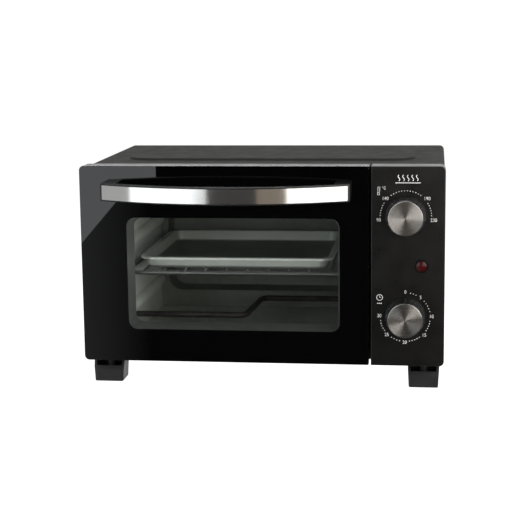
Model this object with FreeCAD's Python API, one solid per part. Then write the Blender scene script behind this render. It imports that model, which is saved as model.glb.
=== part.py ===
import FreeCAD, Part
import math
import os

# Countertop toaster oven: sheet-steel body, bottom-hinged glass door with a bowed
# handle on the left, control panel with two knobs and a lamp on the right.
# Millimetres. X runs to the right seen from the front, Y to the rear, Z up.
# While it is drawn, Y = 0 is the front face of the door and Z = 0 is the table;
# save() moves every piece so that the origin is under the middle of the whole object.

V = FreeCAD.Vector

# ---- driving dimensions ----
WIDTH = 370.0
HEIGHT = 230.0
FOOT_HEIGHT = 27.5
FRONT_DEPTH = 23.7
COVER_REAR = 251.0
BULGE_DEPTH = 13.0
HANDLE_REACH = 52.0
SHEET = 0.8
CORNER_RADIUS = 5.0
FRONT_GAP = 1.9
DOOR_RIGHT = 109.6

# ---- worked out from them ----
DOOR_LEFT = -WIDTH / 2
PANEL_LEFT = DOOR_RIGHT + FRONT_GAP
PANEL_RIGHT = WIDTH / 2
REAR_PANEL_Y = COVER_REAR - 1.0
CENTRE_Y = (REAR_PANEL_Y + BULGE_DEPTH - HANDLE_REACH) / 2

# ---- body ----
COVER_HALF_WIDTH = WIDTH / 2 - 0.7
COVER_TOP = 227.5
COVER_FRONT = 27.0
INNER_HALF_WIDTH = COVER_HALF_WIDTH - SHEET - 0.2
FRAME_FRONT = 25.0
FRAME_REAR = 26.0
WALL_FRONT = FRAME_REAR + 0.2
WALL_REAR = REAR_PANEL_Y - SHEET - 0.2
BASE_FLANGE_TOP = FOOT_HEIGHT + 12.0
BASE_END_TOP = FOOT_HEIGHT + 5.8
EMBOSS_HEIGHT = 2.0

# ---- cavity ----
CAVITY_LEFT = -150.0
CAVITY_RIGHT = 92.0
CAVITY_FLOOR = 34.5
CAVITY_CEILING = 205.0
RAIL_RADIUS = 7.0
RAIL_LEVELS = (69.0, 105.6, 142.2)
RAIL_FRONT = 45.0
RAIL_REAR = 232.0

# ---- door ----
GLASS_THICKNESS = 4.0
WINDOW_FRONT = (-138.3, 80.5, 60.8, 177.3)
WINDOW_REAR = (-133.7, 77.0, 65.0, 174.0)
WINDOW_RADIUS = 9.0
HINGE_Y = 14.0
HINGE_Z = 36.0
HINGE_PIN_RADIUS = 2.5
DOOR_REAR_NOTCH_Z = 38.0
DOOR_NOTCHED_DEPTH = 19.0

# ---- handle ----
HANDLE_LEFT = -158.5
HANDLE_RIGHT = 91.2
HANDLE_Z = 205.4
HANDLE_BAR_HEIGHT = 17.6
HANDLE_FACE_HEIGHT = 14.6
HANDLE_BAR_DEPTH = 10.0
HANDLE_END_Y = -20.0
HANDLE_POST = 15.0
HANDLE_FACE_PROUD = 0.3
HANDLE_FACE_THICKNESS = 0.9

# ---- controls ----
KNOB_X = 146.0
THERMOSTAT_Z = 180.1
TIMER_Z = 78.0
THERMOSTAT_START = 187.5
TIMER_START = 90.0
KNOB_FRONT = -18.0
KNOB_BASE_RADIUS = 20.5
KNOB_RIM_RADIUS = 18.2
KNOB_CAP_RADIUS = 17.2
SHAFT_RADIUS = 3.0
LAMP_X = 162.0
LAMP_Z = 130.0
LAMP_RADIUS = 6.0

# ---- heaters, rack and tray ----
HEATER_RADIUS = 3.25
LOWER_HEATER_Z = 56.5
UPPER_HEATER_Z = 192.0
HEATER_RIGHT_Y = 193.0
HEATER_LEFT_Y = 98.0
RACK_Z = 114.5
RACK_WIRE_RADIUS = 2.25
RACK_ROD_RADIUS = 1.3
RACK_FRONT = 34.0
RACK_REAR = 236.0
RACK_PITCH = 21.6
RACK_RODS = 10
RACK_MIDDLE_X = -28.9
TRAY_LEFT = -133.0
TRAY_RIGHT = 71.0
TRAY_FRONT = 36.0
TRAY_REAR = 226.0
TRAY_BOTTOM = 118.8
TRAY_RIM = 130.4

# ---- feet ----
FOOT_X = 164.5
FOOT_FRONT_Y = 19.5
FOOT_REAR_Y = 215.0
FOOT_TOP_WIDTH = 33.0
FOOT_BOTTOM_WIDTH = 30.0
FOOT_LENGTH = 28.0
FOOT_WALL = 2.5


# ---------------------------------------------------------------- helpers

def box(x0, x1, y0, y1, z0, z1):
    return Part.makeBox(x1 - x0, y1 - y0, z1 - z0, V(x0, y0, z0))


def rod_x(x0, x1, y, z, radius):
    return Part.makeCylinder(radius, x1 - x0, V(x0, y, z), V(1, 0, 0))


def rod_y(x, z, radius, y0, y1):
    return Part.makeCylinder(radius, y1 - y0, V(x, y0, z), V(0, 1, 0))


def rod_z(x, y, radius, z0, z1):
    return Part.makeCylinder(radius, z1 - z0, V(x, y, z0))


def join(shapes):
    shapes = list(shapes)
    if len(shapes) == 1:
        return shapes[0]
    return shapes[0].multiFuse(shapes[1:]).removeSplitter()


def group(shapes):
    return Part.makeCompound(list(shapes))


def corner_arc(before, corner, after, radius):
    """Tangent arc of the given radius in the corner between two straight runs."""
    backward = (before - corner).normalize()
    forward = (after - corner).normalize()
    half = backward.getAngle(forward) / 2
    first = corner + backward * (radius / math.tan(half))
    last = corner + forward * (radius / math.tan(half))
    bisector = (backward + forward).normalize()
    middle = corner + bisector * (radius / math.sin(half) - radius)
    return first, last, Part.Arc(first, middle, last).toShape()


def closed_wire(points, radii):
    """Closed outline through the points, each corner rounded by its own radius."""
    count = len(points)
    corners = []
    for i in range(count):
        if radii[i] > 0:
            corners.append(corner_arc(points[i - 1], points[i], points[(i + 1) % count], radii[i]))
        else:
            corners.append((points[i], points[i], None))
    edges = []
    for i in range(count):
        first, last, arc = corners[i]
        if arc:
            edges.append(arc)
        next_first = corners[(i + 1) % count][0]
        if last.distanceToPoint(next_first) > 1e-6:
            edges.append(Part.LineSegment(last, next_first).toShape())
    return Part.Wire(edges)


def bent_wire(points, radius):
    """Open path of straight runs joined by tangent arcs."""
    edges = []
    start = points[0]
    for before, corner, after in zip(points, points[1:], points[2:]):
        first, last, arc = corner_arc(before, corner, after, radius)
        edges.append(Part.LineSegment(start, first).toShape())
        edges.append(arc)
        start = last
    edges.append(Part.LineSegment(start, points[-1]).toShape())
    return Part.Wire(edges)


def tube(points, radius, bend_radius):
    path = bent_wire(points, bend_radius)
    section = Part.Wire([Part.makeCircle(radius, points[0], points[1] - points[0])])
    return path.makePipeShell([section], True, True)


def four(radius):
    return (radius, radius, radius, radius)


def outline_xz(x0, x1, z0, z1, y, radii):
    points = [V(x0, y, z0), V(x1, y, z0), V(x1, y, z1), V(x0, y, z1)]
    return closed_wire(points, radii)


def outline_xy(x0, x1, y0, y1, z, radii):
    points = [V(x0, y0, z), V(x1, y0, z), V(x1, y1, z), V(x0, y1, z)]
    return closed_wire(points, radii)


def slab_y(x0, x1, z0, z1, y0, y1, radii):
    """Plate or block with rounded corners seen from the front."""
    return Part.Face(outline_xz(x0, x1, z0, z1, y0, radii)).extrude(V(0, y1 - y0, 0))


def slab_z(x0, x1, y0, y1, z0, z1, radii):
    """Plate or block with rounded corners seen from above."""
    return Part.Face(outline_xy(x0, x1, y0, y1, z0, radii)).extrude(V(0, 0, z1 - z0))


def loft(wires):
    return Part.makeLoft(wires, True, True)


def edges_at_y(shape, y):
    found = []
    for edge in shape.Edges:
        if abs(edge.BoundBox.YMin - y) < 1e-4 and abs(edge.BoundBox.YMax - y) < 1e-4:
            found.append(edge)
    return found


def edges_at_z(shape, z):
    found = []
    for edge in shape.Edges:
        if abs(edge.BoundBox.ZMin - z) < 1e-4 and abs(edge.BoundBox.ZMax - z) < 1e-4:
            found.append(edge)
    return found


def placed(shape, position, direction):
    """Turn a shape drawn along +Z from the origin so that it points along direction."""
    moved = shape.copy()
    moved.Placement = FreeCAD.Placement(position, FreeCAD.Rotation(V(0, 0, 1), direction))
    return moved


def pan_screw(position, direction, head_radius, head_height, shank_radius, shank_length):
    """Cross-recessed pan-head screw; position is under the head, direction is out of it."""
    head = Part.makeCylinder(head_radius, head_height)
    head = head.makeFillet(head_height * 0.45, edges_at_z(head, head_height))
    arm = head_radius * 0.62
    half = head_radius * 0.13
    depth = head_height * 0.55
    for recess in (
        box(-arm, arm, -half, half, head_height - depth, head_height + 1),
        box(-half, half, -arm, arm, head_height - depth, head_height + 1),
    ):
        head = head.cut(recess)
    shank = Part.makeCylinder(shank_radius, shank_length, V(0, 0, -shank_length))
    return placed(head.fuse(shank), position, direction)


def save(name, shape):
    moved = shape.copy()
    moved.translate(V(0, -CENTRE_Y, 0))
    if not moved.isValid() or not moved.Solids:
        raise RuntimeError("bad shape: " + name)
    moved.exportStep("parts/" + name + ".step")


# ---------------------------------------------------------------- body shell

COVER_SCREW_PLACES = [
    (-COVER_HALF_WIDTH + 5.5, 60.0), (-COVER_HALF_WIDTH + 5.5, 190.0),
    (COVER_HALF_WIDTH - 5.5, 60.0), (COVER_HALF_WIDTH - 5.5, 190.0),
    (-100.0, COVER_TOP - 5.5), (100.0, COVER_TOP - 5.5),
]
EMBOSS_LEFT = -155.0
EMBOSS_RIGHT = 155.0
EMBOSS_FRONT = 78.0
EMBOSS_REAR = 228.0
EMBOSS_RADIUS = 28.0
EMBOSS_SLOPE = 2.6
LOUVRE_LENGTH = 34.0
LOUVRE_WIDTH = 3.0
LOUVRE_FRONT = 150.0
LOUVRE_LOW = 92.0
LOUVRE_COLUMN_PITCH = 42.0
LOUVRE_ROW_PITCH = 10.0
REAR_FLANGE = 10.0


def emboss(z):
    """Raised panel with sloping sides, in the top of the cover."""
    inset = EMBOSS_SLOPE
    low = outline_xy(EMBOSS_LEFT, EMBOSS_RIGHT, EMBOSS_FRONT, EMBOSS_REAR, z, four(EMBOSS_RADIUS))
    high = outline_xy(
        EMBOSS_LEFT + inset, EMBOSS_RIGHT - inset, EMBOSS_FRONT + inset, EMBOSS_REAR - inset,
        z + EMBOSS_HEIGHT, four(EMBOSS_RADIUS - inset),
    )
    return loft([low, high])


def outer_cover():
    """Folded sheet over both sides and the top, with a flange turned in at the rear."""
    half = COVER_HALF_WIDTH
    skirt = FOOT_HEIGHT - 10.0
    outside = slab_y(-half, half, skirt, COVER_TOP, COVER_FRONT, COVER_REAR, (0, 0, 5.0, 5.0))
    inside = slab_y(
        -half + SHEET, half - SHEET, skirt, COVER_TOP - SHEET,
        COVER_FRONT - 1, COVER_REAR - SHEET, (0, 0, 4.2, 4.2),
    )
    rear_opening = slab_y(
        -half + REAR_FLANGE, half - REAR_FLANGE, skirt, COVER_TOP - REAR_FLANGE,
        COVER_REAR - 5, COVER_REAR + 5, (0, 0, 3.0, 3.0),
    )
    cover = outside.cut(inside).cut(rear_opening)
    cover = cover.fuse(emboss(COVER_TOP)).cut(emboss(COVER_TOP - SHEET))
    below = box(-half - 5, half + 5, 0, COVER_REAR + 5, skirt - 5, FOOT_HEIGHT + 0.5)
    cover = cover.cut(below)
    slots = []
    for column in range(2):
        for row in range(7):
            y0 = LOUVRE_FRONT + column * LOUVRE_COLUMN_PITCH
            z0 = LOUVRE_LOW + row * LOUVRE_ROW_PITCH
            for x in (-half, half):
                slots.append(box(x - 3, x + 3, y0, y0 + LOUVRE_LENGTH, z0, z0 + LOUVRE_WIDTH))
    for x, z in COVER_SCREW_PLACES:
        slots.append(rod_y(x, z, 1.7, COVER_REAR - 3, COVER_REAR + 3))
    return cover.cut(Part.makeCompound(slots))


def base_plate():
    """Bottom pan with its rims turned up, ventilation slots and holes for the foot screws."""
    half = INNER_HALF_WIDTH
    top = FOOT_HEIGHT + SHEET
    pan = box(-half, half, WALL_FRONT, WALL_REAR, FOOT_HEIGHT, BASE_FLANGE_TOP)
    hollow = box(
        -half + SHEET, half - SHEET, WALL_FRONT + SHEET, WALL_REAR - SHEET,
        top, BASE_FLANGE_TOP + 1,
    )
    cuts = [hollow]
    for row in range(2):
        for column in range(9):
            x0 = -125.0 + column * 22.0
            y0 = 90.0 + row * 60.0
            cuts.append(slab_z(x0, x0 + 4.0, y0, y0 + 40.0, FOOT_HEIGHT - 1, top + 1, four(1.9)))
    for x, y in foot_places():
        cuts.append(rod_z(x, y + FOOT_LENGTH / 2, 2.2, FOOT_HEIGHT - 1, top + 1))
    for y0, y1 in ((WALL_FRONT - 1, WALL_FRONT + SHEET), (WALL_REAR - SHEET, WALL_REAR + 1)):
        cuts.append(
            box(-half + SHEET, half - SHEET, y0, y1, BASE_END_TOP, BASE_FLANGE_TOP + 1)
        )
    return pan.cut(Part.makeCompound(cuts))


BULGE_LEFT = -141.0
BULGE_RIGHT = 83.0
BULGE_BOTTOM = 54.0
BULGE_TOP = 190.0
BULGE_RADIUS = 15.0
BULGE_SLOPE = 5.0
INLET_X = 150.0
INLET_Z = 54.0


def bulge(y, grow):
    """Pressed-out part of the rear wall that makes room for a round pan."""
    deep = grow + BULGE_SLOPE
    wide = outline_xz(
        BULGE_LEFT - grow, BULGE_RIGHT + grow, BULGE_BOTTOM - grow, BULGE_TOP + grow,
        y, four(BULGE_RADIUS + grow),
    )
    narrow = outline_xz(
        BULGE_LEFT - grow + deep, BULGE_RIGHT + grow - deep,
        BULGE_BOTTOM - grow + deep, BULGE_TOP + grow - deep,
        y + BULGE_DEPTH, four(BULGE_RADIUS + grow - deep * 0.5),
    )
    return loft([wide, narrow])


def rear_panel():
    """Back of the body and of the cavity in one sheet."""
    half = INNER_HALF_WIDTH
    front = REAR_PANEL_Y - SHEET
    bottom = FOOT_HEIGHT + SHEET + 0.2
    top = COVER_TOP - SHEET - 0.2
    plate = slab_y(-half, half, bottom, top, front, REAR_PANEL_Y, (0, 0, 4.0, 4.0))
    rim = slab_y(-half, half, bottom, top, front - 8.0, REAR_PANEL_Y, (0, 0, 4.0, 4.0))
    rim_hollow = slab_y(
        -half + SHEET, half - SHEET, bottom - 20, top - SHEET, front - 9.0, front, (0, 0, 3.2, 3.2)
    )
    rim = rim.cut(rim_hollow).cut(
        box(-half - 1, half + 1, front - 10, front, bottom - 1, BASE_FLANGE_TOP + 1.5)
    )
    panel = plate.fuse(rim).fuse(bulge(REAR_PANEL_Y, 0.0)).cut(bulge(front, 0.0))
    cuts = [rod_y(INLET_X, INLET_Z, 8.0, front - 5, REAR_PANEL_Y + 5)]
    for row in range(8):
        z0 = 110.0 + row * 9.0
        cuts.append(
            slab_y(112.0, 160.0, z0, z0 + 3.0, front - 5, REAR_PANEL_Y + 5, four(1.4))
        )
    for x, z in COVER_SCREW_PLACES:
        cuts.append(rod_y(x, z, 1.4, front - 5, REAR_PANEL_Y + 5))
    return panel.cut(Part.makeCompound(cuts))


def front_frame():
    """Front plate round the cavity mouth; the controls screw to its right end."""
    half = INNER_HALF_WIDTH
    bottom = FOOT_HEIGHT + 0.7
    top = COVER_TOP - SHEET - 0.2
    plate = slab_y(-half, half, bottom, top, FRAME_FRONT, FRAME_REAR, (0, 0, 4.0, 4.0))
    rim = slab_y(-half, half, bottom, top, FRAME_FRONT, FRAME_REAR + 8, (0, 0, 4.0, 4.0))
    rim_hollow = slab_y(
        -half + SHEET, half - SHEET, bottom - 20, top - SHEET,
        FRAME_REAR, FRAME_REAR + 10, (0, 0, 3.2, 3.2),
    )
    below = box(-half - 1, half + 1, FRAME_REAR, FRAME_REAR + 10, bottom - 1, BASE_FLANGE_TOP + 1.5)
    frame = plate.fuse(rim.cut(rim_hollow).cut(below))
    cuts = [
        slab_y(
            CAVITY_LEFT, CAVITY_RIGHT, CAVITY_FLOOR, CAVITY_CEILING,
            FRAME_FRONT - 5, FRAME_REAR + 5, four(4.0),
        ),
        rod_y(KNOB_X, THERMOSTAT_Z, 5.0, FRAME_FRONT - 5, FRAME_REAR + 5),
        rod_y(KNOB_X, TIMER_Z, 5.0, FRAME_FRONT - 5, FRAME_REAR + 5),
        rod_y(LAMP_X, LAMP_Z, 5.2, FRAME_FRONT - 5, FRAME_REAR + 5),
    ]
    for x, z in panel_boss_places():
        cuts.append(rod_y(x, z, 1.7, FRAME_FRONT - 5, FRAME_REAR + 5))
    for x, z in control_screw_places():
        cuts.append(rod_y(x, z, 1.7, FRAME_FRONT - 5, FRAME_REAR + 5))
    return frame.cut(Part.makeCompound(cuts))


def cover_screws():
    return group(
        pan_screw(V(x, COVER_REAR, z), V(0, 1, 0), 3.2, 1.9, 1.35, 7.0)
        for x, z in COVER_SCREW_PLACES
    )


# ---------------------------------------------------------------- cavity

def heater_holes():
    """Clearance holes for the four heater ends, through both side walls."""
    holes = []
    for z in (LOWER_HEATER_Z, UPPER_HEATER_Z):
        holes.append(rod_x(CAVITY_RIGHT - 5, CAVITY_RIGHT + 5, HEATER_RIGHT_Y, z, 4.2))
        holes.append(rod_x(CAVITY_LEFT - 5, CAVITY_LEFT + 5, HEATER_LEFT_Y, z, 4.2))
    return Part.makeCompound(holes)


def slab_x(xa, xb, y0, y1, z, radius):
    """Flat block with half-round ends, lying against the side wall."""
    x0, x1 = sorted((xa, xb))
    return join([
        box(x0, x1, y0, y1, z - radius, z + radius),
        rod_x(x0, x1, y0, z, radius),
        rod_x(x0, x1, y1, z, radius),
    ])


def rail(face_x, inward, z, radius):
    """Half-round rail with quarter-sphere ends, standing on the wall's inner face."""
    whole = join([
        rod_y(face_x, z, radius, RAIL_FRONT, RAIL_REAR),
        Part.makeSphere(radius, V(face_x, RAIL_FRONT, z)),
        Part.makeSphere(radius, V(face_x, RAIL_REAR, z)),
    ])
    x0, x1 = sorted((face_x, face_x + inward * 2 * radius))
    return whole.common(box(x0, x1, RAIL_FRONT - 20, RAIL_REAR + 20, z - 20, z + 20))


def cavity_side(face_x, inward):
    """Side wall with pressed rails for the rack; inward is +1 or -1 along X."""
    outer_x = face_x - inward * SHEET
    x0, x1 = sorted((face_x, outer_x))
    wall = box(x0, x1, WALL_FRONT, WALL_REAR, CAVITY_FLOOR, CAVITY_CEILING)
    for z in RAIL_LEVELS:
        wall = wall.fuse(rail(face_x, inward, z, RAIL_RADIUS))
    for z in RAIL_LEVELS:
        hollow = rail(face_x, inward, z, RAIL_RADIUS - SHEET)
        opened = slab_x(outer_x - inward, face_x, RAIL_FRONT, RAIL_REAR, z, RAIL_RADIUS - SHEET)
        wall = wall.cut(hollow).cut(opened)
    return wall.cut(heater_holes())


def cavity_top():
    return box(
        CAVITY_LEFT - SHEET, CAVITY_RIGHT + SHEET, WALL_FRONT, WALL_REAR,
        CAVITY_CEILING, CAVITY_CEILING + SHEET,
    )


def cavity_floor():
    """Floor sheet standing on two folded feet along its sides."""
    left = CAVITY_LEFT - SHEET
    right = CAVITY_RIGHT + SHEET
    low = FOOT_HEIGHT + SHEET
    sheet = box(left, right, WALL_FRONT + 1.0, WALL_REAR - 1.0, CAVITY_FLOOR - SHEET, CAVITY_FLOOR)
    left_foot = box(left, left + SHEET, WALL_FRONT + 1.0, WALL_REAR - 1.0, low, CAVITY_FLOOR)
    right_foot = box(right - SHEET, right, WALL_FRONT + 1.0, WALL_REAR - 1.0, low, CAVITY_FLOOR)
    return join([sheet, left_foot, right_foot])


SHIELD_X = 98.0
SHIELD_BOTTOM = 70.0
SHIELD_TOP = 178.0


def heat_shield():
    """Folded plate that keeps the cavity's heat off the controls."""
    wall_x = CAVITY_RIGHT + SHEET
    low, high = SHIELD_BOTTOM, SHIELD_TOP
    plate = box(SHIELD_X, SHIELD_X + 0.6, 40.0, 240.0, low, high)
    top = box(wall_x, SHIELD_X + 0.6, 40.0, 240.0, high - 0.6, high)
    bottom = box(wall_x, SHIELD_X + 0.6, 40.0, 240.0, low, low + 0.6)
    return join([plate, top, bottom])


# ---------------------------------------------------------------- heaters

HEATER_STEP_X = -25.5
HEATER_STEP_HALF = 3.5
HEATER_BEND = 10.0
HEATER_END = 14.0


def heater(z):
    """Sheathed element from wall to wall, stepped forward by an S bend in the middle."""
    points = [
        V(CAVITY_RIGHT + HEATER_END, HEATER_RIGHT_Y, z),
        V(HEATER_STEP_X + HEATER_STEP_HALF, HEATER_RIGHT_Y, z),
        V(HEATER_STEP_X - HEATER_STEP_HALF, HEATER_LEFT_Y, z),
        V(CAVITY_LEFT - HEATER_END, HEATER_LEFT_Y, z),
    ]
    return tube(points, HEATER_RADIUS, HEATER_BEND)


def heater_ends():
    """Where each heater leaves the cavity: x of the wall's outer face, y, z, outward sign."""
    places = []
    for z in (LOWER_HEATER_Z, UPPER_HEATER_Z):
        places.append((CAVITY_RIGHT + SHEET, HEATER_RIGHT_Y, z, 1))
        places.append((CAVITY_LEFT - SHEET, HEATER_LEFT_Y, z, -1))
    return places


def heater_flanges():
    """Crimped steel flanges that hold the heater ends to the cavity walls."""
    flanges = []
    for x, y, z, sign in heater_ends():
        x0, x1 = sorted((x, x + sign * 1.0))
        plate = box(x0, x1, y - 7.0, y + 7.0, z - 10.0, z + 10.0)
        flanges.append(plate.cut(rod_x(x0 - 1, x1 + 1, y, z, HEATER_RADIUS)))
    return group(flanges)


def heater_insulators():
    """Ceramic beads closing the ends of the heater tubes."""
    beads = []
    for x, y, z, sign in heater_ends():
        start = x + sign * (HEATER_END - SHEET)
        x0, x1 = sorted((start, start + sign * 5.0))
        bead = rod_x(x0, x1, y, z, 4.0)
        beads.append(bead.cut(rod_x(x0 - 1, x1 + 1, y, z, 1.2)))
    return group(beads)


def heater_terminals():
    """Terminal pins with flat push-on tabs."""
    pins = []
    for x, y, z, sign in heater_ends():
        start = x + sign * (HEATER_END - SHEET)
        x0, x1 = sorted((start, start + sign * 7.0))
        pin = rod_x(x0, x1, y, z, 1.2)
        t0, t1 = sorted((start + sign * 6.0, start + sign * 13.0))
        pins.append(pin.fuse(box(t0, t1, y - 3.15, y + 3.15, z - 0.4, z + 0.4)))
    return group(pins)


# ---------------------------------------------------------------- rack and tray

def wire_rack():
    """Chromed wire frame with rods from front to back welded on top of it."""
    left = CAVITY_LEFT + 3.6
    right = CAVITY_RIGHT - 3.6
    z = RACK_Z
    corner = 12.0
    spine = closed_wire(
        [V(left, RACK_FRONT, z), V(right, RACK_FRONT, z),
         V(right, RACK_REAR, z), V(left, RACK_REAR, z)],
        four(corner),
    )
    start = V(left + corner, RACK_FRONT, z)
    section = Part.Wire([Part.makeCircle(RACK_WIRE_RADIUS, start, V(1, 0, 0))])
    frame = spine.makePipeShell([section], True, True)
    rod_height = z + RACK_WIRE_RADIUS + RACK_ROD_RADIUS - 0.9
    rods = []
    for i in range(RACK_RODS):
        x = RACK_MIDDLE_X + (i - (RACK_RODS - 1) / 2) * RACK_PITCH
        rods.append(
            rod_y(x, rod_height, RACK_ROD_RADIUS, RACK_FRONT - 1.5, RACK_REAR + 1.5)
        )
    return join([frame] + rods)


def tray_block(inset, bottom, top):
    """Drafted block with rounded corners that is the tray's outside or its inside."""
    draft = 3.0
    low = outline_xy(
        TRAY_LEFT + 5.0 + inset + draft, TRAY_RIGHT - 5.0 - inset - draft,
        TRAY_FRONT + 5.0 + inset + draft, TRAY_REAR - 5.0 - inset - draft,
        bottom, four(9.0 - inset),
    )
    high = outline_xy(
        TRAY_LEFT + 5.0 + inset, TRAY_RIGHT - 5.0 - inset,
        TRAY_FRONT + 5.0 + inset, TRAY_REAR - 5.0 - inset,
        top, four(12.0 - inset),
    )
    return loft([low, high])


def baking_tray():
    """Shallow pressed tray with a flat rim that is rolled under at its edge."""
    thick = 0.8
    pan = tray_block(0.0, TRAY_BOTTOM, TRAY_RIM)
    rim = slab_z(TRAY_LEFT, TRAY_RIGHT, TRAY_FRONT, TRAY_REAR, TRAY_RIM - 2.4, TRAY_RIM, four(16.0))
    rim_under = slab_z(
        TRAY_LEFT + thick, TRAY_RIGHT - thick, TRAY_FRONT + thick, TRAY_REAR - thick,
        TRAY_RIM - 4.0, TRAY_RIM - thick, four(15.2),
    )
    rim = rim.cut(rim_under)
    rim = rim.makeFillet(0.6, edges_at_z(rim, TRAY_RIM))
    return pan.fuse(rim).cut(tray_block(thick, TRAY_BOTTOM + thick, TRAY_RIM + 0.01))


# ---------------------------------------------------------------- door

HINGE_ARM_INSET = 15.5
HINGE_ARM_WIDTH = 2.5


def hinge_sides():
    """The x of each hinge arm's outer face, and the sign that points into the door."""
    return ((DOOR_LEFT + HINGE_ARM_INSET, 1), (DOOR_RIGHT - HINGE_ARM_INSET, -1))


def handle_post_places():
    half = HANDLE_POST / 2
    return ((HANDLE_LEFT + half, HANDLE_Z), (HANDLE_RIGHT - half, HANDLE_Z))


def door_radii(outer):
    """Large radii at the oven's outside corners, small ones beside the control panel."""
    return (outer, 1.2, 1.2, outer)


def door_glass():
    """Tempered pane over the whole door front, with two holes for the handle screws."""
    pane = slab_y(
        DOOR_LEFT, DOOR_RIGHT, FOOT_HEIGHT, HEIGHT, 0.0, GLASS_THICKNESS, door_radii(CORNER_RADIUS)
    )
    pane = pane.makeFillet(0.9, edges_at_y(pane, 0.0))
    for x, z in handle_post_places():
        pane = pane.cut(rod_y(x, z, 2.6, -5, 10))
    return pane


def door_frame():
    """Black rim of the door behind the glass, with the ledge that the glass sits on."""
    gap = 0.15
    rim = 2.0
    ledge_width = 13.0
    left, right = DOOR_LEFT + gap, DOOR_RIGHT - gap
    bottom, top = FOOT_HEIGHT + gap, HEIGHT - gap
    front, rear = GLASS_THICKNESS, FRONT_DEPTH - SHEET
    body = slab_y(left, right, bottom, top, front, rear, door_radii(CORNER_RADIUS - gap))
    ledge_hole = slab_y(
        left + ledge_width, right - ledge_width, bottom + ledge_width, top - ledge_width,
        front - 1, rear + 1, four(3.0),
    )
    hollow = slab_y(
        left + rim, right - rim, bottom + rim, top - rim, front + 1.2, rear + 1, four(2.0)
    )
    notch = box(left - 1, right + 1, DOOR_NOTCHED_DEPTH, rear + 1, bottom - 1, DOOR_REAR_NOTCH_Z)
    frame = body.cut(ledge_hole).cut(hollow)
    parts = [frame]
    for x, z in door_screw_places():
        parts.append(rod_y(x, z, 3.2, front + 0.6, rear))
    for arm_x, inward in hinge_sides():
        for offset in (-7.0, 13.5):
            centre = arm_x + inward * offset
            lug = box(centre - 1.75, centre + 1.75, front + 0.6, HINGE_Y + 5.0, bottom + 1, HINGE_Z)
            eye = rod_x(centre - 1.75, centre + 1.75, HINGE_Y, HINGE_Z, 5.0)
            parts.append(lug.fuse(eye))
    frame = join(parts).cut(notch)
    cuts = []
    for arm_x, inward in hinge_sides():
        low, high = sorted((arm_x - inward * 2.0, arm_x + inward * (HINGE_ARM_WIDTH + 2.0)))
        cuts.append(box(low, high, 7.0, rear + 1, bottom - 1, bottom + rim + 0.5))
        cuts.append(rod_x(arm_x - 30, arm_x + 30, HINGE_Y, HINGE_Z, HINGE_PIN_RADIUS + 0.02))
    for x, z in door_screw_places():
        cuts.append(rod_y(x, z, 1.3, rear - 8, rear + 1))
    return frame.cut(Part.makeCompound(cuts))


def door_screw_places():
    low, high = 52.0, HEIGHT - 7.0
    middle = (DOOR_LEFT + DOOR_RIGHT) / 2
    return (
        (DOOR_LEFT + 6.5, low), (DOOR_LEFT + 6.5, 140.0), (DOOR_LEFT + 9.0, high),
        (DOOR_RIGHT - 6.5, low), (DOOR_RIGHT - 6.5, 140.0), (DOOR_RIGHT - 9.0, high),
        (middle, high),
    )


def grown(outline, by):
    """A window outline, given as left, right, bottom and top, with each side moved outward."""
    left, right, bottom, top = outline
    return (left - by, right + by, bottom - by, top + by)


def collar_block(front, rear, by):
    """Drafted block that fills the window collar, grown by that much on each side."""
    radii = four(WINDOW_RADIUS + by)
    return loft([
        outline_xz(*grown(WINDOW_FRONT, by), front, radii),
        outline_xz(*grown(WINDOW_REAR, by), rear, radii),
    ])


def door_inner_panel():
    """Galvanised back of the door: flat sheet with a deep-drawn collar round the window."""
    rear = FRONT_DEPTH
    front = GLASS_THICKNESS + 0.2
    back = slab_y(
        DOOR_LEFT + 0.3, DOOR_RIGHT - 0.3, HINGE_Z + 6.5, HEIGHT - 0.3,
        rear - SHEET, rear, (0, 0, 1.2, CORNER_RADIUS),
    )
    lip = slab_y(*grown(WINDOW_FRONT, 6.0), front, front + SHEET, four(WINDOW_RADIUS + 5.0))
    opening = collar_block(front, rear, 0.0)
    panel = join([back, collar_block(front, rear, SHEET), lip]).cut(opening)
    panel = panel.makeFillet(0.7, [
        edge for edge in edges_at_y(panel, rear)
        if edge.BoundBox.XMin > DOOR_LEFT + 20 and edge.BoundBox.XMax < DOOR_RIGHT - 20
        and edge.BoundBox.ZMin > WINDOW_REAR[2] - 1 and edge.BoundBox.ZMax < WINDOW_REAR[3] + 1
    ])
    for x, z in door_screw_places():
        panel = panel.cut(rod_y(x, z, 1.6, rear - 5, rear + 5))
    return panel


def door_screws():
    return group(
        pan_screw(V(x, FRONT_DEPTH, z), V(0, 1, 0), 2.6, 0.7, 1.25, 7.0)
        for x, z in door_screw_places()
    )


def hinge_pins():
    pins = []
    for arm_x, inward in hinge_sides():
        outer = arm_x - inward * 9.0
        inner = arm_x + inward * 16.0
        x0, x1 = sorted((outer, inner))
        pin = rod_x(x0, x1, HINGE_Y, HINGE_Z, HINGE_PIN_RADIUS)
        head = rod_x(
            min(outer, outer - inward * 1.2), max(outer, outer - inward * 1.2),
            HINGE_Y, HINGE_Z, 3.8,
        )
        pins.append(pin.fuse(head))
    return group(pins)


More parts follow.
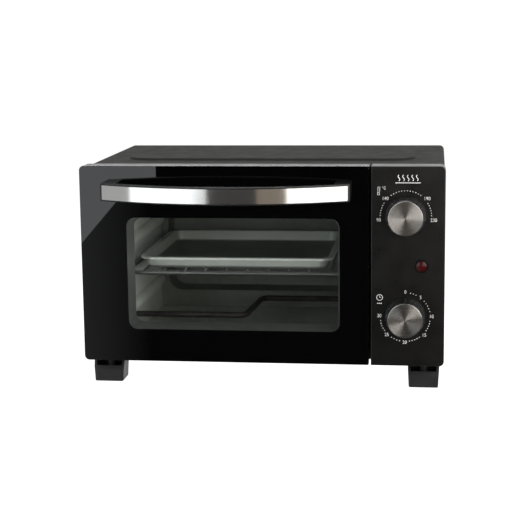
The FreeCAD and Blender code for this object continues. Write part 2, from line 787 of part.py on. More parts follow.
def hinge_bracket(arm_x, inward):
    """Angle riveted to the front frame; its arm reaches forward to the hinge pin."""
    x0, x1 = sorted((arm_x, arm_x + inward * HINGE_ARM_WIDTH))
    low, high = HINGE_Z - 4.6, HINGE_Z + 4.6
    arm = box(x0, x1, HINGE_Y, FRAME_FRONT, low, high)
    eye = rod_x(x0, x1, HINGE_Y, HINGE_Z, 4.6)
    f0, f1 = sorted((arm_x, arm_x + inward * 12.0))
    foot = box(f0, f1, FRAME_FRONT - 0.9, FRAME_FRONT, low, high - 0.2)
    bore = rod_x(x0 - 1, x1 + 1, HINGE_Y, HINGE_Z, HINGE_PIN_RADIUS + 0.08)
    return join([arm, eye, foot]).cut(bore)


def hinge_spring(arm_x, inward):
    """Closing spring round the hinge pin, between the arm and the inner lug."""
    radius = 3.8
    wire = 0.6
    start_x = arm_x + inward * (HINGE_ARM_WIDTH + 0.9)
    turns = 5
    pitch = 1.35
    helix = Part.makeHelix(pitch, pitch * turns, radius)
    section = Part.Wire([Part.makeCircle(wire, V(radius, 0, 0), V(0, 1, 0))])
    coil = Part.Wire(helix.Edges).makePipeShell([section], True, True)
    return placed(coil, V(start_x, HINGE_Y, HINGE_Z), V(inward, 0, 0))


# ---------------------------------------------------------------- handle

def handle_arc():
    """Radius and centre of the arc that the handle's steel face follows in plan."""
    half = (HANDLE_RIGHT - HANDLE_LEFT) / 2
    rise = HANDLE_REACH + HANDLE_END_Y
    radius = half * half / (2 * rise) + rise / 2
    return radius, V((HANDLE_LEFT + HANDLE_RIGHT) / 2, -HANDLE_REACH + radius, 0)


def on_arc(radius, centre, x):
    return V(x, centre.y - math.sqrt(radius * radius - (x - centre.x) ** 2), 0)


def band(outer_radius, inner_radius, centre, x0, x1, z0, z1):
    """Curved strip between two arcs about one centre, cut square at x0 and x1."""
    stations = (x0, (x0 + centre.x) / 2, centre.x, (x1 + centre.x) / 2, x1)
    outer = [on_arc(outer_radius, centre, x) for x in stations]
    inner = [on_arc(inner_radius, centre, x) for x in stations]
    wire = Part.Wire([
        Part.Arc(outer[0], outer[1], outer[2]).toShape(),
        Part.Arc(outer[2], outer[3], outer[4]).toShape(),
        Part.LineSegment(outer[4], inner[4]).toShape(),
        Part.Arc(inner[4], inner[3], inner[2]).toShape(),
        Part.Arc(inner[2], inner[1], inner[0]).toShape(),
        Part.LineSegment(inner[0], outer[0]).toShape(),
    ])
    face = Part.Face(wire)
    face.translate(V(0, 0, z0))
    return face.extrude(V(0, 0, z1 - z0))


def handle_bar():
    """Bowed plastic bar with a post at each end that stands on the glass."""
    radius, centre = handle_arc()
    front = radius - HANDLE_FACE_PROUD
    z0 = HANDLE_Z - HANDLE_BAR_HEIGHT / 2
    z1 = HANDLE_Z + HANDLE_BAR_HEIGHT / 2
    bar = band(front, radius - HANDLE_BAR_DEPTH, centre, HANDLE_LEFT, HANDLE_RIGHT, z0, z1)
    parts = [bar]
    post_front = on_arc(front - 3, centre, HANDLE_LEFT).y
    for x0 in (HANDLE_LEFT, HANDLE_RIGHT - HANDLE_POST):
        parts.append(box(x0, x0 + HANDLE_POST, post_front, 0.0, z0, z1))
    bar = join(parts)
    outer_edges = [
        edge for edge in bar.Edges
        if (edge.BoundBox.ZLength < 1e-4 and edge.BoundBox.YMax < -1e-4)
    ]
    bar = bar.makeFillet(1.1, outer_edges)
    recess = band(
        front + 5, radius - HANDLE_FACE_THICKNESS, centre,
        HANDLE_LEFT + 1.7, HANDLE_RIGHT - 1.7,
        HANDLE_Z - HANDLE_FACE_HEIGHT / 2, HANDLE_Z + HANDLE_FACE_HEIGHT / 2,
    )
    bar = bar.cut(recess)
    for x, z in handle_post_places():
        bar = bar.cut(rod_y(x, z, 1.95, -13.0, 1.0))
    return bar


def handle_face():
    """Brushed steel strip let into the front of the bar."""
    radius, centre = handle_arc()
    fit = 0.05
    plate = band(
        radius, radius - HANDLE_FACE_THICKNESS, centre,
        HANDLE_LEFT + 1.7 + fit, HANDLE_RIGHT - 1.7 - fit,
        HANDLE_Z - HANDLE_FACE_HEIGHT / 2 + fit, HANDLE_Z + HANDLE_FACE_HEIGHT / 2 - fit,
    )
    return plate


def handle_screws():
    return group(
        pan_screw(V(x, GLASS_THICKNESS, z), V(0, 1, 0), 4.0, 2.4, 1.9, 14.0)
        for x, z in handle_post_places()
    )


# ---------------------------------------------------------------- control panel

def panel_boss_places():
    inset = 9.0
    places = []
    for x in (PANEL_LEFT + inset, PANEL_RIGHT - inset):
        for z in (FOOT_HEIGHT + 14.0, HEIGHT - 14.0):
            places.append((x, z))
    return places


def control_panel():
    """Moulded panel, open at the rear, with bosses for its screws."""
    wall = 2.2
    radii = (1.2, CORNER_RADIUS, CORNER_RADIUS, 1.2)
    body = slab_y(PANEL_LEFT, PANEL_RIGHT, FOOT_HEIGHT, HEIGHT, 0.0, FRONT_DEPTH, radii)
    body = body.makeFillet(1.0, edges_at_y(body, 0.0))
    hollow = slab_y(
        PANEL_LEFT + wall, PANEL_RIGHT - wall, FOOT_HEIGHT + wall, HEIGHT - wall,
        wall, FRONT_DEPTH + 1, (1.0, 3.0, 3.0, 1.0),
    )
    panel = body.cut(hollow)
    bosses = [rod_y(x, z, 3.4, wall - 0.6, FRAME_FRONT) for x, z in panel_boss_places()]
    panel = join([panel] + bosses)
    cuts = [
        rod_y(KNOB_X, THERMOSTAT_Z, 5.0, -5, 10),
        rod_y(KNOB_X, TIMER_Z, 5.0, -5, 10),
        rod_y(LAMP_X, LAMP_Z, 4.8, -5, 10),
    ]
    for x, z in panel_boss_places():
        cuts.append(rod_y(x, z, 1.25, FRAME_FRONT - 12, FRAME_FRONT + 1))
    return panel.cut(Part.makeCompound(cuts))


def panel_screws():
    return group(
        pan_screw(V(x, FRAME_REAR, z), V(0, 1, 0), 2.8, 1.7, 1.2, 9.0)
        for x, z in panel_boss_places()
    )


def turned(shape, z, pointer):
    """Move a dial piece to its place, its pointer at an angle counted from the right."""
    shape.rotate(V(0, 0, 0), V(0, 1, 0), 90.0 - pointer)
    shape.translate(V(KNOB_X, 0, z))
    return shape


def knob(z, pointer):
    """Round knob: skirt flaring to the panel, a pointer rib and a recess for its cap."""
    rim = KNOB_RIM_RADIUS
    base = KNOB_BASE_RADIUS
    back = -0.8
    front = KNOB_FRONT + 0.4
    profile = [
        V(0, back, 0), V(base, back, 0), V(base, back - 3.0, 0), V(rim, front + 1.6, 0),
        V(rim - 1.0, front, 0), V(0, front, 0),
    ]
    radii = (0, 0.4, 9.0, 0.8, 0.25, 0)
    outline = closed_wire(profile, radii)
    body = Part.Face(outline).revolve(V(0, 0, 0), V(0, 1, 0), 360)
    recess = Part.makeCylinder(KNOB_CAP_RADIUS + 0.05, 5.0, V(0, front + 0.9, 0), V(0, -1, 0))
    inside = Part.makeCone(base - 2.2, rim - 2.6, 12.0, V(0, back + 0.01, 0), V(0, -1, 0))
    hub = Part.makeCylinder(5.2, 12.0, V(0, back, 0), V(0, -1, 0))
    rib = box(-0.6, 0.6, front + 0.3, back - 1.0, rim - 0.6, base - 0.35)
    bore = shaft_section(SHAFT_RADIUS + 0.04, 0.04, -14.5, 1.0)
    body = body.cut(recess).cut(inside.cut(hub))
    return turned(join([body, rib]).cut(bore), z, pointer)


def shaft_section(radius, clearance, y0, y1):
    """Round shaft with one flat, about the Y axis."""
    round_part = Part.makeCylinder(radius, y1 - y0, V(0, y0, 0), V(0, 1, 0))
    flat = 1.5 + clearance
    return round_part.cut(box(-10, 10, y0 - 1, y1 + 1, flat, 10))


def knob_cap(z):
    """Spun aluminium disc pressed into the front of the knob, with a turned edge."""
    disc = Part.makeCylinder(KNOB_CAP_RADIUS, 1.3, V(0, KNOB_FRONT + 1.3, 0), V(0, -1, 0))
    disc = disc.makeFillet(0.5, edges_at_y(disc, KNOB_FRONT))
    disc.translate(V(KNOB_X, 0, z))
    return disc


def knob_shaft(z, pointer, rear):
    """Control spindle: flattened in the knob, round inside the control."""
    spindle = shaft_section(SHAFT_RADIUS, 0.0, -14.0, 8.0)
    spindle = spindle.fuse(Part.makeCylinder(SHAFT_RADIUS, rear - 8.0, V(0, 8.0, 0), V(0, 1, 0)))
    return turned(spindle, z, pointer)


SPINDLE_CLEARANCE = 0.1


def thermostat_body():
    """Bimetal thermostat: steel bridge, ceramic block and bushing."""
    bridge = box(KNOB_X - 20, KNOB_X + 20, FRAME_REAR, FRAME_REAR + 1.0, -8, 8)
    block = slab_y(KNOB_X - 15, KNOB_X + 15, -12, 12, FRAME_REAR + 1.0, FRAME_REAR + 19.0, four(3.0))
    parts = [bridge, block]
    for side in (-1, 1):
        tab_x = KNOB_X + side * 10
        parts.append(box(tab_x - 3.15, tab_x + 3.15, FRAME_REAR + 18, FRAME_REAR + 27, -0.4, 0.4))
    body = join(parts)
    body.translate(V(0, 0, THERMOSTAT_Z))
    bore = rod_y(KNOB_X, THERMOSTAT_Z, SHAFT_RADIUS + SPINDLE_CLEARANCE, 0, FRAME_REAR + 15.0)
    holes = [
        rod_y(x, z, 1.3, FRAME_REAR - 1, FRAME_REAR + 8)
        for x, z in control_screw_places() if z > LAMP_Z
    ]
    return body.cut(bore).cut(Part.makeCompound(holes))


def timer_body():
    """Clockwork timer case between two plates held by pillars."""
    front_plate = slab_y(KNOB_X - 24, KNOB_X + 24, -22, 22, FRAME_REAR, FRAME_REAR + 1.2, four(5.0))
    case = slab_y(KNOB_X - 20, KNOB_X + 20, -18, 18, FRAME_REAR + 1.2, FRAME_REAR + 22, four(6.0))
    rear_plate = slab_y(
        KNOB_X - 22, KNOB_X + 22, -20, 20, FRAME_REAR + 22, FRAME_REAR + 23.2, four(5.0)
    )
    parts = [front_plate, case, rear_plate]
    for side in (-1, 1):
        tab_x = KNOB_X + side * 16
        parts.append(box(tab_x - 3.15, tab_x + 3.15, FRAME_REAR + 5, FRAME_REAR + 13, 17, 27))
    body = join(parts)
    body.translate(V(0, 0, TIMER_Z))
    bore = rod_y(KNOB_X, TIMER_Z, SHAFT_RADIUS + SPINDLE_CLEARANCE, 0, FRAME_REAR + 15.0)
    holes = [
        rod_y(x, z, 1.3, FRAME_REAR - 1, FRAME_REAR + 8)
        for x, z in control_screw_places() if z < LAMP_Z
    ]
    return body.cut(bore).cut(Part.makeCompound(holes))


def timer_bell():
    """Gong behind the timer, on a central post."""
    start = FRAME_REAR + 23.2
    outside = Part.makeCylinder(19.0, 9.0, V(KNOB_X, start + 2.0, TIMER_Z), V(0, 1, 0))
    outside = outside.makeFillet(4.0, edges_at_y(outside, start + 11.0))
    inside = Part.makeCylinder(18.2, 8.2, V(KNOB_X, start + 2.0, TIMER_Z), V(0, 1, 0))
    inside = inside.makeFillet(3.4, edges_at_y(inside, start + 10.2))
    post = rod_y(KNOB_X, TIMER_Z, 3.0, start, start + 11.8)
    return join([outside.cut(inside), post])


def control_screw_places():
    places = []
    for side in (-1, 1):
        places.append((KNOB_X + side * 17.5, THERMOSTAT_Z))
        places.append((KNOB_X + side * 14.0, TIMER_Z - side * 14.0))
    return places


def control_screws():
    return group(
        pan_screw(V(x, FRAME_FRONT, z), V(0, -1, 0), 2.8, 1.6, 1.25, 6.0)
        for x, z in control_screw_places()
    )


def lamp_lens():
    """Red lens with a domed front and a stem through the panel."""
    flange = rod_y(LAMP_X, LAMP_Z, LAMP_RADIUS, -1.2, 0.0)
    dome_radius = 12.0
    dome = Part.makeSphere(dome_radius, V(LAMP_X, -1.2 + dome_radius - 1.3, LAMP_Z))
    dome = dome.common(rod_y(LAMP_X, LAMP_Z, LAMP_RADIUS - 0.8, -4.0, -0.6))
    stem = rod_y(LAMP_X, LAMP_Z, 4.6, 0.0, 8.0)
    hollow = rod_y(LAMP_X, LAMP_Z, 3.4, 1.0, 9.0)
    return join([flange, dome, stem]).cut(hollow)


def lamp_body():
    """Neon lamp in its sleeve, held in the front frame, with two tabs."""
    bulb = rod_y(LAMP_X, LAMP_Z, 2.9, 2.5, 12.0)
    bulb = bulb.makeFillet(2.0, edges_at_y(bulb, 2.5))
    sleeve = rod_y(LAMP_X, LAMP_Z, 5.0, 8.0, 34.0)
    tabs = [
        box(LAMP_X - 0.4 + dx, LAMP_X + 0.4 + dx, 33.0, 42.0, LAMP_Z - 2, LAMP_Z + 2)
        for dx in (-2.6, 2.6)
    ]
    return join([bulb, sleeve] + tabs)


# ---------------------------------------------------------------- electrical parts

BLOCK_X = 150.0
BLOCK_Y = 155.0


def terminal_block():
    """Three-way block on the base, with screw wells from above."""
    z0 = FOOT_HEIGHT + SHEET
    block = box(BLOCK_X - 18, BLOCK_X + 18, BLOCK_Y - 8, BLOCK_Y + 8, z0, z0 + 14)
    wells = [rod_z(BLOCK_X + dx, BLOCK_Y, 2.2, z0 + 6, z0 + 15) for dx in (-12, 0, 12)]
    return block.cut(Part.makeCompound(wells))


def earth_tag():
    """Earth screw and ring tag on the base pan."""
    z0 = FOOT_HEIGHT + SHEET
    x, y = BLOCK_X - 34, BLOCK_Y
    ring = rod_z(x, y, 4.5, z0, z0 + 0.8).fuse(box(x - 2, x + 2, y - 14, y, z0, z0 + 0.8))
    return join([ring, rod_z(x, y, 3.2, z0 + 0.8, z0 + 3.2)])


def cord_inlet_bush():
    """Moulded bush in the rear panel where the mains lead comes in."""
    front = REAR_PANEL_Y - SHEET
    body = rod_y(INLET_X, INLET_Z, 7.9, front - 6.0, REAR_PANEL_Y + 1.0)
    flange = rod_y(INLET_X, INLET_Z, 11.0, REAR_PANEL_Y, REAR_PANEL_Y + 3.0)
    flange = flange.makeFillet(1.2, edges_at_y(flange, REAR_PANEL_Y + 3.0))
    nut = rod_y(INLET_X, INLET_Z, 10.0, front - 5.0, front)
    bore = rod_y(INLET_X, INLET_Z, 3.8, front - 10.0, REAR_PANEL_Y + 10.0)
    return join([body, flange, nut]).cut(bore)


WIRE_RADIUS = 1.2
WIRE_BEND = 7.0


def wiring_harness():
    """Insulated wires between the terminal block, the controls and the heater ends."""
    block_top = FOOT_HEIGHT + SHEET + 14.0
    tab_x = CAVITY_RIGHT + SHEET + HEATER_END + 13.5
    left_x = CAVITY_LEFT - SHEET - HEATER_END - 11.0
    roof = CAVITY_CEILING + SHEET + 6.0
    routes = [
        [V(BLOCK_X + 12, BLOCK_Y, block_top), V(BLOCK_X + 12, BLOCK_Y, THERMOSTAT_Z - 20),
         V(KNOB_X + 10, 120.0, THERMOSTAT_Z), V(KNOB_X + 10, FRAME_REAR + 27.5, THERMOSTAT_Z)],
        [V(KNOB_X - 10, FRAME_REAR + 27.5, THERMOSTAT_Z), V(KNOB_X - 10, 90.0, THERMOSTAT_Z),
         V(KNOB_X - 16, 90.0, TIMER_Z + 42.0), V(KNOB_X - 16, FRAME_REAR + 9, TIMER_Z + 42.0),
         V(KNOB_X - 16, FRAME_REAR + 9, TIMER_Z + 27.5)],
        [V(KNOB_X + 16, FRAME_REAR + 9, TIMER_Z + 27.5), V(KNOB_X + 16, FRAME_REAR + 9, 118.0),
         V(KNOB_X + 16, 110.0, 118.0), V(tab_x + 8, HEATER_RIGHT_Y, 90.0),
         V(tab_x + 8, HEATER_RIGHT_Y, LOWER_HEATER_Z), V(tab_x, HEATER_RIGHT_Y, LOWER_HEATER_Z)],
        [V(tab_x, HEATER_RIGHT_Y, UPPER_HEATER_Z), V(tab_x + 10, HEATER_RIGHT_Y, UPPER_HEATER_Z),
         V(tab_x + 10, HEATER_RIGHT_Y, roof + 3.0), V(20.0, 215.0, roof + 3.0),
         V(left_x + 20.0, 150.0, roof), V(left_x, HEATER_LEFT_Y, roof - 6.0),
         V(left_x, HEATER_LEFT_Y, UPPER_HEATER_Z + 1.6)],
        [V(BLOCK_X - 12, BLOCK_Y, block_top), V(BLOCK_X - 12, BLOCK_Y, 75.0),
         V(BLOCK_X - 26, 160.0, 75.0), V(BLOCK_X - 26, 60.0, LAMP_Z),
         V(LAMP_X - 2.6, 60.0, LAMP_Z), V(LAMP_X - 2.6, 42.5, LAMP_Z)],
    ]
    return group(tube(points, WIRE_RADIUS, WIRE_BEND) for points in routes)


# ---------------------------------------------------------------- feet

def foot_places():
    """x of the foot's middle and y of its front, for each foot."""
    return [(x, y) for y in (FOOT_FRONT_Y, FOOT_REAR_Y - FOOT_LENGTH) for x in (-FOOT_X, FOOT_X)]


def foot_block(inset, z0, z1):
    """Tapered block: the foot's outside, or its inside when inset by the wall."""
    def half_width(z):
        share = z / FOOT_HEIGHT
        return (FOOT_BOTTOM_WIDTH + (FOOT_TOP_WIDTH - FOOT_BOTTOM_WIDTH) * share) / 2 - inset
    wires = []
    for z in (z0, z1):
        half = half_width(z)
        wires.append(outline_xy(-half, half, inset, FOOT_LENGTH - inset, z, four(2.2 - inset * 0.6)))
    return loft(wires)


def foot():
    """Hollow moulded foot, open at the upper front, with a rib down its middle."""
    top_plate = 2.5
    front_wall_height = 12.0
    setback = 9.0
    outside = foot_block(0.0, 0.0, FOOT_HEIGHT)
    outside = outside.makeFillet(1.0, edges_at_z(outside, 0.0))
    inside = foot_block(FOOT_WALL, FOOT_WALL, FOOT_HEIGHT - top_plate)
    mouth = Part.Face(Part.makePolygon([
        V(-30, -5, front_wall_height), V(-30, 0, front_wall_height),
        V(-30, setback, FOOT_HEIGHT + 1.0), V(-30, -5, FOOT_HEIGHT + 1.0),
        V(-30, -5, front_wall_height),
    ])).extrude(V(60, 0, 0))
    shell = outside.cut(inside).cut(mouth)
    rib = box(-0.9, 0.9, setback, FOOT_LENGTH - 1.5, 1.5, FOOT_HEIGHT - 1.0)
    boss = rod_z(0, FOOT_LENGTH / 2, 4.2, 12.0, FOOT_HEIGHT - 1.0)
    bore = rod_z(0, FOOT_LENGTH / 2, 1.6, 13.0, FOOT_HEIGHT + 1.0)
    return join([shell, rib, boss]).cut(bore)


def foot_screws():
    top = FOOT_HEIGHT + SHEET
    return group(
        pan_screw(V(x, y + FOOT_LENGTH / 2, top), V(0, 0, 1), 3.8, 2.2, 1.55, 13.0)
        for x, y in foot_places()
    )


def save_feet():
    names = ("foot_front_left", "foot_front_right", "foot_rear_left", "foot_rear_right")
    for name, (x, y) in zip(names, foot_places()):
        piece = foot()
        if y > FOOT_FRONT_Y:
            piece = piece.mirror(V(0, FOOT_LENGTH / 2, 0), V(0, 1, 0))
        piece.translate(V(x, y, 0))
        save(name, piece)


# ---------------------------------------------------------------- all pieces

def main():
    os.makedirs("parts", exist_ok=True)
    save("outer_cover", outer_cover())
    save("base_plate", base_plate())
    save("rear_panel", rear_panel())
    save("front_frame", front_frame())
    save("cover_screws", cover_screws())
    save("cavity_left_wall", cavity_side(CAVITY_LEFT, 1))
    save("cavity_right_wall", cavity_side(CAVITY_RIGHT, -1))
    save("cavity_top", cavity_top())
    save("cavity_floor", cavity_floor())
    save("heat_shield", heat_shield())
    save("lower_heater", heater(LOWER_HEATER_Z))
    save("upper_heater", heater(UPPER_HEATER_Z))
    save("heater_flanges", heater_flanges())
    save("heater_insulators", heater_insulators())
    save("heater_terminals", heater_terminals())
    save("wire_rack", wire_rack())
    save("baking_tray", baking_tray())
    save("door_glass", door_glass())
    save("door_frame", door_frame())
    save("door_inner_panel", door_inner_panel())
    save("door_screws", door_screws())
    save("hinge_pins", hinge_pins())
    for side, (arm_x, inward) in zip(("left", "right"), hinge_sides()):
        save("hinge_bracket_" + side, hinge_bracket(arm_x, inward))
        save("hinge_spring_" + side, hinge_spring(arm_x, inward))
    save("handle_bar", handle_bar())
    save("handle_face", handle_face())
    save("handle_screws", handle_screws())
    save("control_panel", control_panel())
    save("panel_screws", panel_screws())
    for name, z, pointer in (
        ("thermostat", THERMOSTAT_Z, THERMOSTAT_START), ("timer", TIMER_Z, TIMER_START)
    ):
        save(name + "_knob", knob(z, pointer))
        save(name + "_knob_cap", knob_cap(z))
        save(name + "_shaft", knob_shaft(z, pointer, FRAME_REAR + 14.0))
    save("thermostat_body", thermostat_body())
    save("timer_body", timer_body())
    save("timer_bell", timer_bell())
    save("control_screws", control_screws())
    save("lamp_lens", lamp_lens())
    save("lamp_body", lamp_body())
    save("terminal_block", terminal_block())
    save("earth_tag", earth_tag())
    save("cord_inlet_bush", cord_inlet_bush())
    save("wiring_harness", wiring_harness())
    save_feet()
    save("foot_screws", foot_screws())


main()
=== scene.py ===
import bmesh
import bpy
import math
from mathutils import Matrix, Vector

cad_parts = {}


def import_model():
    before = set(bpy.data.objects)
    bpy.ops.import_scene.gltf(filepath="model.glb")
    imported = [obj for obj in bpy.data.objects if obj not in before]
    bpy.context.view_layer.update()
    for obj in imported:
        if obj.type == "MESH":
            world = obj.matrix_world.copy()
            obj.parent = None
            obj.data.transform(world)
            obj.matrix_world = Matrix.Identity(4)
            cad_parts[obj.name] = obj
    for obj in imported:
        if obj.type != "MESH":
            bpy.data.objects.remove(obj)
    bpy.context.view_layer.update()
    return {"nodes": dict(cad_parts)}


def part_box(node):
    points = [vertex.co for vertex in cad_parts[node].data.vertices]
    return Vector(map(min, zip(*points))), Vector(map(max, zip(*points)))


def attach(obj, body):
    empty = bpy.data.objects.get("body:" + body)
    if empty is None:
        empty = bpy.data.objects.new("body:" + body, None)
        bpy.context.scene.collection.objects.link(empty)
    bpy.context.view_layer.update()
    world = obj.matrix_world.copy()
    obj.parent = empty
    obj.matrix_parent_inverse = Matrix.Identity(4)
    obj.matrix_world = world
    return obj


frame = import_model()
MM = 0.001

# ------------------------------------------------------------ places read from the frame

GLASS_LOW, GLASS_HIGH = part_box("door_glass")
PANEL_LOW, PANEL_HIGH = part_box("control_panel")
TRAY_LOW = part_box("baking_tray")[0]
PANEL_FACE = PANEL_LOW.y


def centre_of(node):
    low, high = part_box(node)
    return (low + high) / 2


THERMOSTAT = centre_of("thermostat_shaft")
TIMER = centre_of("timer_shaft")
LAMP = centre_of("lamp_lens")


# ------------------------------------------------------------ materials

class Nodes:
    """One material's node tree, with short names for the nodes that are used most."""

    def __init__(self, name):
        self.material = bpy.data.materials.new(name)
        self.material.use_nodes = True
        self.tree = self.material.node_tree
        self.shader = self.tree.nodes["Principled BSDF"]
        self.output = self.tree.nodes["Material Output"]
        self.place = self.add("ShaderNodeTexCoord").outputs["Object"]

    def add(self, kind, **values):
        node = self.tree.nodes.new(kind)
        for key, value in values.items():
            setattr(node, key, value)
        return node

    def link(self, a, b):
        self.tree.links.new(a, b)

    def split(self, vector):
        """The X, Y and Z outputs of a vector."""
        node = self.add("ShaderNodeSeparateXYZ")
        self.link(vector, node.inputs["Vector"])
        return node.outputs

    def stretched(self, factors):
        """Object coordinates, each axis multiplied by its own factor."""
        node = self.add("ShaderNodeMapping")
        node.inputs["Scale"].default_value = factors
        self.link(self.place, node.inputs["Vector"])
        return node.outputs["Vector"]

    def noise(self, scale, detail=3.0, vector=None, roughness=0.5):
        node = self.add("ShaderNodeTexNoise")
        node.inputs["Scale"].default_value = scale
        node.inputs["Detail"].default_value = detail
        node.inputs["Roughness"].default_value = roughness
        self.link(vector or self.place, node.inputs["Vector"])
        return node.outputs["Fac"]

    def span(self, value, low, high, start=0.3, end=0.7):
        """Maps start to end, by default the middle of a noise, to the span from low to high."""
        node = self.add("ShaderNodeMapRange")
        node.inputs["From Min"].default_value = start
        node.inputs["From Max"].default_value = end
        node.inputs["To Min"].default_value = low
        node.inputs["To Max"].default_value = high
        self.link(value, node.inputs["Value"])
        return node.outputs["Result"]

    def mix(self, factor, a, b):
        """Mixes two colours, each a colour value or another node's output."""
        node = self.add("ShaderNodeMix", data_type="RGBA")
        self.link(factor, node.inputs["Factor"])
        for socket, colour in ((node.inputs[6], a), (node.inputs[7], b)):
            if isinstance(colour, tuple):
                socket.default_value = (*colour, 1.0)
            else:
                self.link(colour, socket)
        return node.outputs[2]

    def bump(self, height, strength, distance):
        node = self.add("ShaderNodeBump")
        node.inputs["Strength"].default_value = strength
        node.inputs["Distance"].default_value = distance
        self.link(height, node.inputs["Height"])
        return node.outputs["Normal"]

    def set(self, **values):
        for key, value in values.items():
            self.shader.inputs[key.replace("_", " ")].default_value = value

    def to(self, socket, value):
        self.link(value, self.shader.inputs[socket])


def tinted(colour, factor):
    return tuple(channel * factor for channel in colour)


def coated(name, colour, roughness, grain_scale, grain_depth, mottle=0.25, spread=0.08, specular=0.5):
    """Paint or moulded plastic: a fine surface grain, and slow drifts of tone and gloss."""
    n = Nodes(name)
    drift = n.noise(scale=14.0, detail=4.0)
    n.to("Base Color", n.mix(drift, tinted(colour, 1 - mottle), tinted(colour, 1 + mottle)))
    gloss = n.noise(scale=60.0, detail=5.0)
    n.to("Roughness", n.span(gloss, roughness - spread, roughness + spread))
    grain = n.noise(grain_scale, detail=2.0)
    n.to("Normal", n.bump(grain, strength=0.6, distance=grain_depth))
    n.set(Specular_IOR_Level=specular)
    return n.material


def brushed(name, colour, roughness):
    """Metal brushed lengthwise: fine long lines, with highlights spread across them."""
    mottle, waver = 0.07, 0.01
    n = Nodes(name)
    along_x = n.stretched((9.0, 2500.0, 4200.0))
    lines = n.noise(scale=1.0, vector=along_x, roughness=0.6)
    tone = n.mix(lines, tinted(colour, 1 - mottle), tinted(colour, 1 + mottle))
    n.to("Base Color", n.mix(n.noise(scale=16.0), tone, tinted(colour, 0.96)))
    n.to("Roughness", n.span(lines, roughness - waver, roughness + waver))
    n.to("Normal", n.bump(lines, strength=0.1, distance=0.000001))
    tangent = n.add("ShaderNodeVectorMath", operation="CROSS_PRODUCT")
    n.link(n.add("ShaderNodeTexCoord").outputs["Normal"], tangent.inputs[0])
    tangent.inputs[1].default_value = (0.0, 0.0, 1.0)
    n.to("Tangent", tangent.outputs["Vector"])
    n.set(Metallic=1.0, Anisotropic=1.0, Anisotropic_Rotation=0.25)
    return n.material


def rolling_lines(n):
    """A noise drawn out along the sheet, as the mill's rollers leave it."""
    return n.noise(scale=1.0, detail=2.0, vector=n.stretched((25.0, 25.0, 900.0)))


def rolled_sheet(name, colour, roughness, metallic, spangle=0.06):
    """Aluminised or zinc-coated sheet: faint crystals, rolling lines and dull patches."""
    spread = 0.05
    n = Nodes(name)
    crystal = n.add("ShaderNodeTexVoronoi")
    crystal.inputs["Scale"].default_value = 160.0
    n.link(n.place, crystal.inputs["Vector"])
    grey = n.add("ShaderNodeSeparateColor")
    n.link(crystal.outputs["Color"], grey.inputs["Color"])
    tone = n.mix(grey.outputs["Red"], tinted(colour, 1 - spangle), tinted(colour, 1 + spangle))
    dull = n.span(n.noise(scale=9.0, detail=5.0), 0.0, 0.6)
    n.to("Base Color", n.mix(dull, tone, tinted(colour, 0.8)))
    gloss = n.noise(scale=35.0, detail=4.0)
    n.to("Roughness", n.span(gloss, roughness - spread, roughness + spread))
    n.to("Normal", n.bump(rolling_lines(n), strength=0.2, distance=0.00001))
    n.set(Metallic=metallic)
    return n.material


def tray_with_painted_dark_floor(name):
    """Bright pressed tray whose floor is painted darker than its walls: a painted reflection of the dark
    cavity ceiling, with random tone in it.
    """
    n = Nodes(name)
    floor_top = TRAY_LOW.z + 1.0 * MM
    wall_start = TRAY_LOW.z + 2.6 * MM
    wall = n.span(n.split(n.place)["Z"], 0.0, 1.0, floor_top, wall_start)
    # Painted reflection: the floor's dark colour stands in for the dark ceiling that the floor reflects.
    painted_dark_floor = n.mix(n.noise(scale=22.0, detail=5.0), (0.20, 0.20, 0.195), (0.32, 0.32, 0.31))
    bright = n.mix(n.noise(scale=60.0), (0.76, 0.76, 0.74), (0.84, 0.84, 0.82))
    n.to("Base Color", n.mix(wall, painted_dark_floor, bright))
    n.to("Roughness", n.span(n.noise(scale=35.0, detail=4.0), 0.40, 0.44))
    n.to("Normal", n.bump(rolling_lines(n), strength=0.2, distance=0.000002))
    n.set(Metallic=0.7)
    return n.material


def plated(name, colour, roughness, mottle=0.12):
    """Small zinc or chrome plated pieces: slight clouding and fine scuffs."""
    n = Nodes(name)
    cloud = n.noise(scale=90.0, detail=4.0)
    n.to("Base Color", n.mix(cloud, tinted(colour, 1 - mottle), tinted(colour, 1 + mottle)))
    n.to("Roughness", n.span(n.noise(scale=240.0), roughness - 0.06, roughness + 0.1))
    n.to("Normal", n.bump(n.noise(scale=900.0, detail=2.0), strength=0.15, distance=0.00002))
    n.set(Metallic=1.0)
    return n.material


def heat_darkened(name):
    """Heater sheath: dark oxidised steel with brown and bluish bands."""
    n = Nodes(name)
    scale = n.noise(scale=55.0, detail=5.0)
    band = n.noise(scale=1.0, vector=n.stretched((16.0, 30.0, 30.0)))
    tone = n.mix(n.span(band, 0.0, 1.0), (0.055, 0.045, 0.042), (0.035, 0.037, 0.045))
    n.to("Base Color", n.mix(n.span(scale, 0.0, 0.7), tone, (0.12, 0.10, 0.09)))
    n.to("Roughness", n.span(n.noise(scale=300.0), 0.32, 0.55))
    n.to("Normal", n.bump(n.noise(scale=1500.0, detail=2.0), strength=0.3, distance=0.00004))
    n.set(Metallic=0.7)
    return n.material


def surface_wave(n):
    """The faint unevenness of a pane of tempered glass."""
    return n.bump(n.noise(scale=6.0, detail=1.0), strength=0.02, distance=0.0004)


